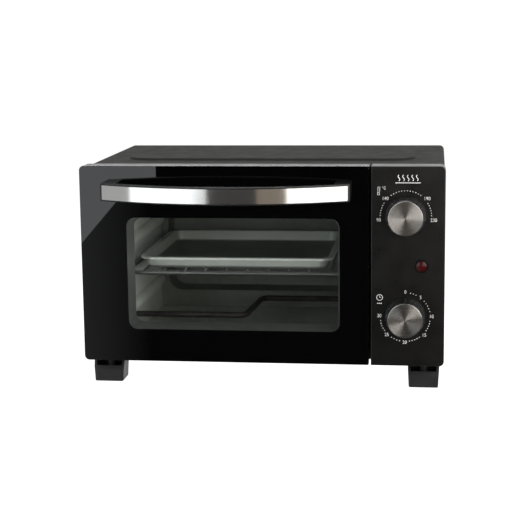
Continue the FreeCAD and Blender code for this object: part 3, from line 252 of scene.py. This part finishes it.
def clear_glass(name):
    """Tempered glass that lets light straight through for shadows, with a faint surface wave."""
    n = Nodes(name)
    n.set(Base_Color=(0.94, 0.97, 0.95, 1.0), Roughness=0.0, IOR=1.5, Transmission_Weight=1.0)
    n.to("Normal", surface_wave(n))
    through = n.add("ShaderNodeBsdfTransparent")
    through.inputs["Color"].default_value = (0.90, 0.93, 0.91, 1.0)
    rays = n.add("ShaderNodeLightPath")
    either = n.add("ShaderNodeMath", operation="MAXIMUM")
    n.link(rays.outputs["Is Shadow Ray"], either.inputs[0])
    n.link(rays.outputs["Is Diffuse Ray"], either.inputs[1])
    both = n.add("ShaderNodeMixShader")
    n.link(either.outputs[0], both.inputs["Fac"])
    n.link(n.shader.outputs["BSDF"], both.inputs[1])
    n.link(through.outputs["BSDF"], both.inputs[2])
    n.link(both.outputs["Shader"], n.output.inputs["Surface"])
    return n.material


def black_glass(name):
    """The door's black border: deep black with a glass-smooth face."""
    n = Nodes(name)
    n.to("Base Color", n.mix(n.noise(scale=700.0), (0.0011, 0.0011, 0.0012), (0.0013, 0.0013, 0.0014)))
    n.to("Roughness", n.span(n.noise(scale=9.0, detail=4.0), 0.0, 0.02))
    n.to("Normal", surface_wave(n))
    return n.material


def spun_metal(name):
    """Turned aluminium disc: rings of fine grooves round the knob's axis."""
    n = Nodes(name)
    middle = n.add("ShaderNodeVectorMath", operation="SUBTRACT")
    n.link(n.add("ShaderNodeTexCoord").outputs["Generated"], middle.inputs[0])
    middle.inputs[1].default_value = (0.5, 0.5, 0.5)
    flat = n.add("ShaderNodeVectorMath", operation="MULTIPLY")
    n.link(middle.outputs["Vector"], flat.inputs[0])
    flat.inputs[1].default_value = (1.0, 0.0, 1.0)
    reach = n.add("ShaderNodeVectorMath", operation="LENGTH")
    n.link(flat.outputs["Vector"], reach.inputs[0])
    rings = n.add("ShaderNodeTexNoise", noise_dimensions="1D")
    rings.inputs["Scale"].default_value = 190.0
    rings.inputs["Detail"].default_value = 3.0
    n.link(reach.outputs["Value"], rings.inputs["W"])
    groove = rings.outputs["Fac"]
    n.to("Base Color", n.mix(groove, (0.56, 0.545, 0.52), (0.70, 0.685, 0.655)))
    n.to("Roughness", n.span(groove, 0.25, 0.31))
    n.to("Normal", n.bump(groove, strength=0.1, distance=0.000004))
    round_axis = n.add("ShaderNodeTangent", direction_type="RADIAL", axis="Y")
    n.to("Tangent", round_axis.outputs["Tangent"])
    n.set(Metallic=1.0, Anisotropic=0.92, Anisotropic_Rotation=0.25)
    return n.material


def lamp_glass(name):
    """Dark red translucent lens with a little bloom of colour inside."""
    n = Nodes(name)
    depth = n.span(n.noise(scale=420.0), 0.0, 1.0)
    n.to("Base Color", n.mix(depth, (0.016, 0.0004, 0.0004), (0.055, 0.002, 0.0015)))
    n.to("Roughness", n.span(n.noise(scale=800.0), 0.2, 0.3))
    n.set(IOR=1.45, Specular_IOR_Level=0.3, Coat_Weight=0.1, Coat_Roughness=0.1)
    return n.material


def woven_sleeve(name):
    """Glass-fibre sleeving on the wires: a diagonal weave."""
    n = Nodes(name)
    weave = n.add("ShaderNodeTexWave", wave_type="BANDS", bands_direction="DIAGONAL")
    weave.inputs["Scale"].default_value = 380.0
    weave.inputs["Distortion"].default_value = 1.5
    n.link(n.place, weave.inputs["Vector"])
    strand = weave.outputs["Fac"]
    n.to("Base Color", n.mix(strand, (0.5, 0.48, 0.43), (0.8, 0.78, 0.72)))
    n.to("Roughness", n.span(n.noise(scale=500.0), 0.75, 0.95))
    n.to("Normal", n.bump(strand, strength=0.5, distance=0.0002))
    n.set(Sheen_Weight=0.2)
    return n.material


def printed_ink(name, colour, roughness):
    """Screen-printed ink: slightly uneven cover and a fine tooth."""
    spread = 0.08
    n = Nodes(name)
    cover = n.noise(scale=700.0)
    n.to("Base Color", n.mix(cover, tinted(colour, 0.9), colour))
    n.to("Roughness", n.span(n.noise(scale=1200.0), roughness - spread, roughness + spread))
    n.to("Normal", n.bump(cover, strength=0.1, distance=0.00001))
    return n.material


# What coated() is given for each slot: the grain's scale is per metre and its depth in metres.
COATINGS = {
    "cover_paint": dict(
        colour=(0.029, 0.0289, 0.0245), roughness=0.58, grain_scale=2600.0, grain_depth=0.00005,
        mottle=0.08, spread=0.05, specular=0.04,
    ),
    "black_paint": dict(
        colour=(0.010, 0.010, 0.0105), roughness=0.42, grain_scale=2200.0, grain_depth=0.00004,
    ),
    "door_rim": dict(
        colour=(0.010, 0.010, 0.0105), roughness=0.22, grain_scale=1500.0, grain_depth=0.00002,
        mottle=0.2, spread=0.05, specular=0.08,
    ),
    "panel_plastic": dict(
        colour=(0.0036, 0.0036, 0.0036), roughness=0.31, grain_scale=2400.0, grain_depth=0.00004,
        mottle=0.1, spread=0.04,
    ),
    "knob_plastic": dict(
        colour=(0.014, 0.014, 0.0145), roughness=0.28, grain_scale=1800.0, grain_depth=0.00003,
        mottle=0.15, spread=0.06,
    ),
    "handle_plastic": dict(
        colour=(0.009, 0.009, 0.010), roughness=0.26, grain_scale=1600.0, grain_depth=0.00002,
        mottle=0.15, spread=0.05,
    ),
    "ceramic": dict(
        colour=(0.80, 0.78, 0.70), roughness=0.5, grain_scale=700.0, grain_depth=0.00008,
        mottle=0.06, spread=0.1,
    ),
    "foot_plastic": dict(
        colour=(0.013, 0.013, 0.0135), roughness=0.5, grain_scale=1500.0, grain_depth=0.00007,
        mottle=0.15,
    ),
    "control_plastic": dict(
        colour=(0.62, 0.57, 0.45), roughness=0.45, grain_scale=1200.0, grain_depth=0.00004,
        mottle=0.06,
    ),
    "bush_rubber": dict(
        colour=(0.013, 0.013, 0.013), roughness=0.68, grain_scale=1800.0, grain_depth=0.00006,
        mottle=0.2,
    ),
}
PLATINGS = {
    "steel": dict(colour=(0.55, 0.55, 0.54), roughness=0.34),
    "spring_steel": dict(colour=(0.42, 0.42, 0.43), roughness=0.3),
    "black_screw": dict(colour=(0.03, 0.03, 0.031), roughness=0.42, mottle=0.25),
    "chrome": dict(colour=(0.72, 0.72, 0.71), roughness=0.14, mottle=0.05),
}
MATERIALS = {name: coated(name, **finish) for name, finish in COATINGS.items()}
MATERIALS.update({name: plated(name, **finish) for name, finish in PLATINGS.items()})
MATERIALS.update({
    "galvanised": rolled_sheet("galvanised", (0.66, 0.665, 0.64), roughness=0.36, metallic=0.4),
    "glass": clear_glass("glass"),
    "knob_metal": spun_metal("knob_metal"),
    "brushed_steel": brushed("brushed_steel", (0.76, 0.76, 0.745), roughness=0.19),
    "lamp_red": lamp_glass("lamp_red"),
    "heater_steel": heat_darkened("heater_steel"),
    "tray_metal": tray_with_painted_dark_floor("tray_metal"),
    "wire_sleeve": woven_sleeve("wire_sleeve"),
})
# These nodes look different from the rest of their slot.
OWN_MATERIALS = {
    "door_inner_panel": rolled_sheet("door_zinc", (0.2, 0.204, 0.196), roughness=0.4, metallic=0.6),
    # Painted shade: the rear panel's zinc is darker than the other zinc sheet, for the shaded back of
    # the cavity.
    "rear_panel": rolled_sheet("rear_zinc_painted_shade", (0.37, 0.37, 0.355), roughness=0.36, metallic=0.6),
    # Painted light: the left wall's zinc is lighter and less metallic than the other zinc sheet, for
    # where light falls on it through the window.
    "cavity_left_wall": rolled_sheet(
        "wall_zinc_painted_light", (0.88, 0.89, 0.86), roughness=0.42, metallic=0.08, spangle=0.05,
    ),
    "wire_rack": plated("rack_wire", (0.30, 0.30, 0.295), roughness=0.34, mottle=0.08),
}
RING_PLASTIC = coated(
    "ring_plastic", (0.004, 0.004, 0.004), roughness=0.5, grain_scale=1800.0, grain_depth=0.00003,
    mottle=0.15, spread=0.06, specular=0.1,
)
PRINT_BLACK = black_glass("print_black")
PRINT_WHITE = printed_ink("print_white", (0.90, 0.90, 0.88), roughness=0.55)


def dress(obj, material):
    obj.data.materials.clear()
    obj.data.materials.append(material)


def slot_of(node):
    """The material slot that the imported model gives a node."""
    return frame["nodes"][node].data.materials[0].name.split(".")[0]


SLOTS = {node: slot_of(node) for node in frame["nodes"]}
for node, obj in frame["nodes"].items():
    dress(obj, OWN_MATERIALS.get(node) or MATERIALS[SLOTS[node]])


# ------------------------------------------------------------ mesh helpers

def mesh_object(name, vertices, faces, material):
    mesh = bpy.data.meshes.new(name)
    mesh.from_pydata(vertices, [], faces)
    mesh.update()
    obj = bpy.data.objects.new(name, mesh)
    bpy.context.scene.collection.objects.link(obj)
    dress(obj, material)
    return obj


def new_piece(name, vertices, faces, body, slot, material):
    """A mesh piece in the row frame, with its body and its material; its slot is not used."""
    obj = mesh_object(name, vertices, faces, material)
    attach(obj, body)


def turns(count):
    """The angles of a full turn in that many equal steps."""
    return [2 * math.pi * i / count for i in range(count)]


def around(x, z, radius, angle):
    """The point at that radius and angle from x, z, seen from the front."""
    return x + radius * math.cos(angle), z + radius * math.sin(angle)


def polar(centre, radius, degrees):
    return around(centre.x, centre.z, radius, math.radians(degrees))


def rounded_rectangle(x0, x1, z0, z1, radius, steps=10):
    """Corner arcs of a rounded rectangle, counter-clockwise from the lower right."""
    points = []
    corners = ((x1 - radius, z0 + radius, -90), (x1 - radius, z1 - radius, 0),
               (x0 + radius, z1 - radius, 90), (x0 + radius, z0 + radius, 180))
    for x, z, start in corners:
        for i in range(steps + 1):
            points.append(around(x, z, radius, math.radians(start + 90 * i / steps)))
    return points


def closed_band(rows):
    """Vertices and faces of a closed band: rows of equal length, each joined to the next."""
    count = len(rows[0])
    vertices = [point for row in rows for point in row]
    faces = []
    for r in range(len(rows)):
        here, there = r * count, (r + 1) % len(rows) * count
        for i in range(count):
            after = (i + 1) % count
            faces.append([here + i, here + after, there + after, there + i])
    return vertices, faces


# ------------------------------------------------------------ black border on the door glass

PRINT_BACK = GLASS_LOW.y - 0.02 * MM
PRINT_FRONT = GLASS_LOW.y - 0.10 * MM
BORDER_LEFT, BORDER_RIGHT = 47.9 * MM, 29.5 * MM
BORDER_BELOW, BORDER_ABOVE = 33.9 * MM, 52.9 * MM
WINDOW_RADIUS = 9.0 * MM
EDGE_INSET = 0.3 * MM
EDGE_RADIUS = 4.8 * MM


def glass_print():
    """The black border round the clear window, a thin sheet on the front face of the glass."""
    window = rounded_rectangle(
        GLASS_LOW.x + BORDER_LEFT, GLASS_HIGH.x - BORDER_RIGHT,
        GLASS_LOW.z + BORDER_BELOW, GLASS_HIGH.z - BORDER_ABOVE, WINDOW_RADIUS,
    )
    edge = rounded_rectangle(
        GLASS_LOW.x + EDGE_INSET, GLASS_HIGH.x - EDGE_INSET,
        GLASS_LOW.z + EDGE_INSET, GLASS_HIGH.z - EDGE_INSET, EDGE_RADIUS,
    )
    section = ((window, PRINT_FRONT), (edge, PRINT_FRONT), (edge, PRINT_BACK), (window, PRINT_BACK))
    rows = [[(x, y, z) for x, z in outline] for outline, y in section]
    new_piece("glass_print", *closed_band(rows), "door", "door_rim", PRINT_BLACK)


glass_print()


# ------------------------------------------------------------ scales and symbols on the panel

INK_FRONT = PANEL_FACE - 0.07 * MM
INK_BACK = INK_FRONT + 0.06 * MM
CAPITAL_SHARE = 0.70     # a capital's height, as a share of the lettering's size
LETTER_THINNING = 0.010  # how far the letters' outlines move inward, as a share of their size
LETTER_WIDTH = 0.9       # the letters' width, as a share of the font's own

LABEL_HEIGHT = 3.5 * MM
# Each label, its angle in degrees and its distance from the knob's middle in mm.
THERMOSTAT_LABELS = (("90", 188.0, 27.2), ("140", 139.0, 27.0), ("190", 40.5, 27.4), ("230", -8.0, 27.8))
TIMER_LABELS = (
    ("0", 90.0, 25.6), ("5", 53.0, 25.2), ("10", 2.0, 26.2), ("15", -44.0, 26.4),
    ("20", -91.0, 26.0), ("25", -135.0, 26.0), ("30", -182.0, 26.0),
)

SCALE_DOT = 0.43 * MM
# Each row of dots between two labels: its radius in mm, the angles where the labels end, its count.
THERMOSTAT_DOTS = ((25.3, 184.0, 143.0, 6), (25.6, 131.0, 49.0, 12), (25.3, 37.0, -4.0, 6))
TIMER_DOT_RADIUS = 25.0
TIMER_DOT_COUNTS = (3, 5, 5, 5, 4, 5)
TIMER_LABEL_HALF = 5.0   # degrees from the middle of a timer label to its end

# The heat symbol, in mm: five waves side by side, and the bar below them.
WAVE_OFFSETS = (-9.0, -4.5, 0.0, 4.5, 9.0)
WAVE_HEIGHT, WAVE_SWAY, WAVE_STEPS = 6.0, 0.9, 12
BAR_HALF, BAR_LEVEL = 12.5, -1.9
HEAT_LINE = 0.6


class Print:
    """Thin raised ink on the panel: collects closed outlines and makes one mesh of them."""

    def __init__(self):
        self.vertices = []
        self.faces = []

    def prism(self, outline):
        """A closed outline, counter-clockwise seen from the front, made into a thin plate."""
        base = len(self.vertices)
        count = len(outline)
        for y in (INK_FRONT, INK_BACK):
            self.vertices += [(x, y, z) for x, z in outline]
        self.faces.append([base + i for i in range(count)])
        self.faces.append([base + count + i for i in reversed(range(count))])
        for i in range(count):
            j = (i + 1) % count
            self.faces.append([base + i, base + count + i, base + count + j, base + j])

    def dot(self, x, z, radius, sides=16):
        self.prism([around(x, z, radius, angle) for angle in turns(sides)])

    def stroke(self, points, width):
        """A line through points, drawn as a plate of that width with square ends."""
        left, right = [], []
        for i, (x, z) in enumerate(points):
            before = points[max(i - 1, 0)]
            after = points[min(i + 1, len(points) - 1)]
            run = math.hypot(after[0] - before[0], after[1] - before[1])
            across_x = -(after[1] - before[1]) / run * width / 2
            across_z = (after[0] - before[0]) / run * width / 2
            left.append((x + across_x, z + across_z))
            right.append((x - across_x, z - across_z))
        self.prism(right + left[::-1])

    def line(self, x, z, start, end, width):
        """One straight stroke: its ends in mm from x, z, and its width in mm."""
        self.stroke([(x + right * MM, z + up * MM) for right, up in (start, end)], width * MM)

    def ring(self, x, z, radius, width, sides=28):
        """A closed ring, as a chain of short plates."""
        inner, outer = radius - width / 2, radius + width / 2
        for a, b in zip(turns(sides), turns(sides)[1:] + [2 * math.pi]):
            corners = ((inner, a), (outer, a), (outer, b), (inner, b))
            self.prism([around(x, z, reach, angle) for reach, angle in corners])

    def text(self, words, x, z, height):
        """Words centred on x, z, with capitals of that height."""
        curve = bpy.data.curves.new("lettering", "FONT")
        curve.body = words
        curve.size = height / CAPITAL_SHARE
        curve.align_x = "CENTER"
        curve.align_y = "CENTER"
        curve.resolution_u = 3
        curve.offset = -LETTER_THINNING * curve.size
        maker = bpy.data.objects.new("lettering", curve)
        bpy.context.scene.collection.objects.link(maker)
        bpy.context.view_layer.update()
        mesh = bpy.data.meshes.new_from_object(maker)
        form = bmesh.new()
        form.from_mesh(mesh)
        solid = bmesh.ops.extrude_face_region(form, geom=form.faces[:])
        raised = [v for v in solid["geom"] if isinstance(v, bmesh.types.BMVert)]
        bmesh.ops.translate(form, verts=raised, vec=(0, 0, 1))
        form.verts.index_update()
        base = len(self.vertices)
        for v in form.verts:
            depth = INK_FRONT if v.co.z > 0.5 else INK_BACK
            self.vertices.append((x + v.co.x * LETTER_WIDTH, depth, z + v.co.y))
        self.faces += [[base + v.index for v in f.verts] for f in form.faces]
        form.free()
        bpy.data.objects.remove(maker)
        bpy.data.meshes.remove(mesh)

    def labels(self, centre, table):
        for words, angle, reach in table:
            self.text(words, *polar(centre, reach * MM, angle), LABEL_HEIGHT)

    def scale_dots(self, centre, radius, start, end, count):
        """Dots spread evenly between two labels, which end at the angles given."""
        for i in range(count):
            share = (i + 1) / (count + 1)
            self.dot(*polar(centre, radius * MM, start + (end - start) * share), SCALE_DOT)

    def piece(self, name):
        new_piece(name, self.vertices, self.faces, "oven", "panel_plastic", PRINT_WHITE)


def thermometer(ink, x, z):
    """A tube with a cap, a ring for its bulb and four ticks at its right."""
    wall, top, line = 0.75, 3.7, 0.28
    for side in (-wall, wall):
        ink.line(x, z, (side, -2.0), (side, 3.6), line)
    ink.line(x, z, (-wall, top), (wall, top), line)
    ink.ring(x, z - 3.0 * MM, radius=1.2 * MM, width=0.3 * MM)
    for i in range(4):
        level = 1.2 * i
        ink.line(x, z, (1.2, level), (1.9, level), line)


def clock(ink, x, z):
    """A clock face with two hands, and three short dashes under it."""
    hand, dash_half, dash_level = 0.38, 0.6, -6.0
    ink.ring(x, z, radius=2.95 * MM, width=0.4 * MM)
    ink.line(x, z, (0.0, 1.9), (0.0, -0.2), hand)
    ink.line(x, z, (-0.2, 0.0), (1.5, 0.0), hand)
    for middle in (-1.7, 0.0, 1.7):
        ink.line(x, z, (middle - dash_half, dash_level), (middle + dash_half, dash_level), width=0.8)


def thermostat_scale():
    ink = Print()
    ink.labels(THERMOSTAT, THERMOSTAT_LABELS)
    for row in THERMOSTAT_DOTS:
        ink.scale_dots(THERMOSTAT, *row)
    thermometer(ink, THERMOSTAT.x - 27.1 * MM, THERMOSTAT.z + 25.5 * MM)
    ink.text("°C", THERMOSTAT.x - 21.7 * MM, THERMOSTAT.z + 28.2 * MM, height=2.9 * MM)
    ink.piece("thermostat_scale")


def timer_scale():
    ink = Print()
    ink.labels(TIMER, TIMER_LABELS)
    for before, after, count in zip(TIMER_LABELS, TIMER_LABELS[1:], TIMER_DOT_COUNTS):
        start, end = before[1] - TIMER_LABEL_HALF, after[1] + TIMER_LABEL_HALF
        ink.scale_dots(TIMER, TIMER_DOT_RADIUS, start, end, count)
    clock(ink, TIMER.x - 25.7 * MM, TIMER.z + 19.8 * MM)
    ink.piece("timer_scale")


def heat_mark():
    """A plain heat symbol at the top of the panel: five rising waves over a bar."""
    ink = Print()
    x, z = THERMOSTAT.x + 2.0 * MM, PANEL_HIGH.z - 14.5 * MM
    for offset in WAVE_OFFSETS:
        wave = []
        for i in range(WAVE_STEPS + 1):
            rise = i / WAVE_STEPS
            sway = WAVE_SWAY * math.sin(2 * math.pi * rise)
            wave.append((x + (offset + sway) * MM, z + (WAVE_HEIGHT * rise) * MM))
        ink.stroke(wave, HEAT_LINE * MM)
    ink.line(x, z, (-BAR_HALF, BAR_LEVEL), (BAR_HALF, BAR_LEVEL), HEAT_LINE)
    ink.piece("heat_mark")


thermostat_scale()
timer_scale()
heat_mark()


# ------------------------------------------------------------ ring round the lamp

# Radius and distance in front of the panel, in mm, round the ring's section.
RING_SECTION = (
    (5.3, 1.28), (5.45, 1.6), (5.8, 1.85), (6.25, 1.75),
    (6.6, 1.35), (6.75, 0.02), (6.1, 0.02), (6.1, 1.28),
)


def lamp_ring(sides=48):
    """A black ring that stands proud of the panel, round the red lens."""
    rows = []
    for angle in turns(sides):
        row = []
        for radius, proud in RING_SECTION:
            x, z = around(LAMP.x, LAMP.z, radius * MM, angle)
            row.append((x, PANEL_FACE - proud * MM, z))
        rows.append(row)
    new_piece("lamp_ring", *closed_band(rows), "oven", "knob_plastic", RING_PLASTIC)


lamp_ring()


# ------------------------------------------------------------ floor, light and camera

FLOOR_SIZE = 12.0

# The left light panel stands on a line from its near end to its far end, in x and y. Its outline
# is in metres along that line and up from the floor.
LEFT_BOX_NEAR = Vector((-0.339, -1.270))
LEFT_BOX_FAR = Vector((-0.732, -0.582))
LEFT_BOX_OUTLINE = (
    (0.0, 0.067), (0.108, 0.051), (0.263, -0.055), (0.79, -0.055), (0.79, 0.82), (0.0, 0.82),
)
HAZE_OUTLINE = ((0.0, -0.5), (0.79, -0.5), (0.79, 0.12), (0.0, 0.12))
HAZE_BEHIND = 0.02
HAZE_RADIANCE = 0.36
HAZE_FADE = 0.1

# How bright the world is in reflections, and where it brightens: limits of the direction's y for
# the part behind the oven, and of its x for the part at the left.
WORLD_BEHIND, WORLD_BEHIND_SPAN = 0.95, (-0.1, 0.7)
WORLD_LEFT, WORLD_LEFT_SPAN = 0.45, (-0.26, -0.36)
WORLD_FRONT = 0.004
# How bright the world is as light on dull surfaces, and as the backdrop that the camera sees.
WORLD_AMBIENT = 0.15
WORLD_BACKDROP = 1.06

# The camera's angles are in radians.
CAMERA_PLACE = Vector((0.17369, -1.49645, 0.380))
CAMERA_YAW, CAMERA_PITCH, CAMERA_ROLL = 0.12801, 0.16963, -0.01196
CAMERA_LENS = 99.4


def stage_piece(name, vertices, material):
    """A flat sheet of the studio, which is not part of the oven."""
    obj = mesh_object(name, vertices, [tuple(range(len(vertices)))], material)
    return obj


def floor():
    """A white floor that only the camera and dull surfaces see."""
    half = FLOOR_SIZE / 2
    n = Nodes("studio_floor")
    n.to("Base Color", n.mix(n.noise(scale=3.0), (0.88, 0.88, 0.88), (0.9, 0.9, 0.9)))
    n.set(Roughness=0.9, Specular_IOR_Level=0.0, Emission_Color=(1, 1, 1, 1), Emission_Strength=0.85)
    corners = [(-half, -half, 0), (half, -half, 0), (half, half, 0), (-half, half, 0)]
    obj = stage_piece("studio_floor", corners, n.material)
    obj.visible_glossy = False
    obj.visible_transmission = False


def light_cloth(name):
    """A cloth that only gives off light, slightly uneven in colour."""
    n = Nodes(name)
    n.to("Emission Color", n.mix(n.noise(scale=2.0), (0.93, 0.97, 1.0), (1.0, 1.0, 1.0)))
    n.set(Base_Color=(0, 0, 0, 1), Specular_IOR_Level=0.0)
    return n


def over_left_line(outline, behind=0.0):
    """Corners of an upright sheet over the left panel's line, moved back from the oven."""
    along = (LEFT_BOX_FAR - LEFT_BOX_NEAR).normalized()
    away = Vector((-along.y, along.x))
    return [(*(LEFT_BOX_NEAR + away * behind + along * u), z) for u, z in outline]


def left_softbox(radiance):
    """An upright light panel, wider than it is deep, with its lower near corner cut off."""
    n = light_cloth("softbox_cloth")
    n.set(Emission_Strength=radiance)
    obj = stage_piece("left_softbox", over_left_line(LEFT_BOX_OUTLINE), n.material)
    obj.visible_camera = False


def left_haze():
    """A dim sheet behind the left light panel, fading out towards its near end."""
    corners = over_left_line(HAZE_OUTLINE, HAZE_BEHIND)
    near_end = corners[0][0]
    n = light_cloth("haze_cloth")
    across = n.split(n.place)["X"]
    n.to("Emission Strength", n.span(across, 0.0, HAZE_RADIANCE, near_end, near_end - HAZE_FADE))
    obj = stage_piece("left_haze", corners, n.material)
    obj.visible_camera = False
    obj.visible_diffuse = False


def soft_light(name, place, target, width, height, radiance, colour=(1, 1, 1)):
    """A rectangular lamp at a place, turned towards its target and unseen by the camera."""
    light = bpy.data.lights.new(name, "AREA")
    light.shape = "RECTANGLE"
    light.size, light.size_y = width, height
    light.energy = radiance * math.pi * width * height
    light.color = colour
    obj = bpy.data.objects.new(name, light)
    bpy.context.scene.collection.objects.link(obj)
    obj.location = place
    obj.rotation_mode = "QUATERNION"
    obj.rotation_quaternion = (Vector(target) - Vector(place)).to_track_quat("-Z", "Y")
    obj.visible_camera = False


def world():
    """White to the camera; in reflections bright behind, dim at the left and dark in front."""
    sky = bpy.data.worlds.new("studio")
    bpy.context.scene.world = sky
    sky.use_nodes = True
    tree = sky.node_tree
    tree.nodes.clear()

    def join(a, b):
        tree.links.new(a, b)

    def ramp(value, span, low, high):
        node = tree.nodes.new("ShaderNodeMapRange")
        node.interpolation_type = "SMOOTHSTEP"
        limits = (("From Min", span[0]), ("From Max", span[1]), ("To Min", low), ("To Max", high))
        for key, number in limits:
            node.inputs[key].default_value = number
        join(value, node.inputs["Value"])
        return node.outputs["Result"]

    def choose(factor, a, b):
        node = tree.nodes.new("ShaderNodeMix")
        node.data_type = "FLOAT"
        join(factor, node.inputs["Factor"])
        join(a, node.inputs["A"])
        node.inputs["B"].default_value = b
        return node.outputs["Result"]

    split = tree.nodes.new("ShaderNodeSeparateXYZ")
    join(tree.nodes.new("ShaderNodeTexCoord").outputs["Generated"], split.inputs[0])
    behind = ramp(split.outputs["Y"], WORLD_BEHIND_SPAN, 0.0, WORLD_BEHIND)
    left = ramp(split.outputs["X"], WORLD_LEFT_SPAN, WORLD_FRONT, WORLD_LEFT)
    both = tree.nodes.new("ShaderNodeMath")
    both.operation = "MAXIMUM"
    join(behind, both.inputs[0])
    join(left, both.inputs[1])
    rays = tree.nodes.new("ShaderNodeLightPath")
    soft = choose(rays.outputs["Is Diffuse Ray"], both.outputs[0], WORLD_AMBIENT)
    seen = choose(rays.outputs["Is Camera Ray"], soft, WORLD_BACKDROP)
    background = tree.nodes.new("ShaderNodeBackground")
    background.inputs["Color"].default_value = (1, 1, 1, 1)
    join(seen, background.inputs["Strength"])
    out = tree.nodes.new("ShaderNodeOutputWorld")
    join(background.outputs["Background"], out.inputs["Surface"])


def camera():
    """Same viewpoint as a person a little to the right of the oven's middle, looking slightly down."""
    yaw, pitch, roll = CAMERA_YAW, CAMERA_PITCH, CAMERA_ROLL
    forward = Vector((
        -math.sin(yaw) * math.cos(pitch), math.cos(yaw) * math.cos(pitch), -math.sin(pitch),
    ))
    right = Vector((math.cos(yaw), math.sin(yaw), 0))
    up = right.cross(forward)
    right_rolled = right * math.cos(roll) + up * math.sin(roll)
    up_rolled = up * math.cos(roll) - right * math.sin(roll)
    data = bpy.data.cameras.new("camera")
    data.lens = CAMERA_LENS
    obj = bpy.data.objects.new("camera", data)
    bpy.context.scene.collection.objects.link(obj)
    turn = Matrix((right_rolled, up_rolled, -forward)).transposed()
    obj.matrix_world = Matrix.Translation(CAMERA_PLACE) @ turn.to_4x4()
    bpy.context.scene.camera = obj


floor()
world()
left_softbox(radiance=1.9)
left_haze()
soft_light(
    "right_softbox", place=(0.59, -0.60, 0.42), target=(0.02, -0.01, 0.42),
    width=0.72, height=0.72, radiance=2.8, colour=(1.0, 0.97, 0.94),
)
soft_light(
    "front_softbox", place=(0.1, -1.75, 0.62), target=(0.0, 0.0, 0.15),
    width=1.4, height=0.8, radiance=0.27, colour=(1.0, 0.96, 0.92),
)
soft_light(
    "warm_panel", place=(0.35, -1.30, 0.15), target=(0.02, -0.15, 0.15),
    width=0.33, height=0.9, radiance=0.22, colour=(1.0, 0.80, 0.62),
)
soft_light(
    "top_softbox", place=(0.0, 0.1, 1.1), target=(0.0, 0.0, 0.1),
    width=1.0, height=0.8, radiance=1.6,
)
camera()
bpy.context.scene.view_settings.view_transform = "Standard"
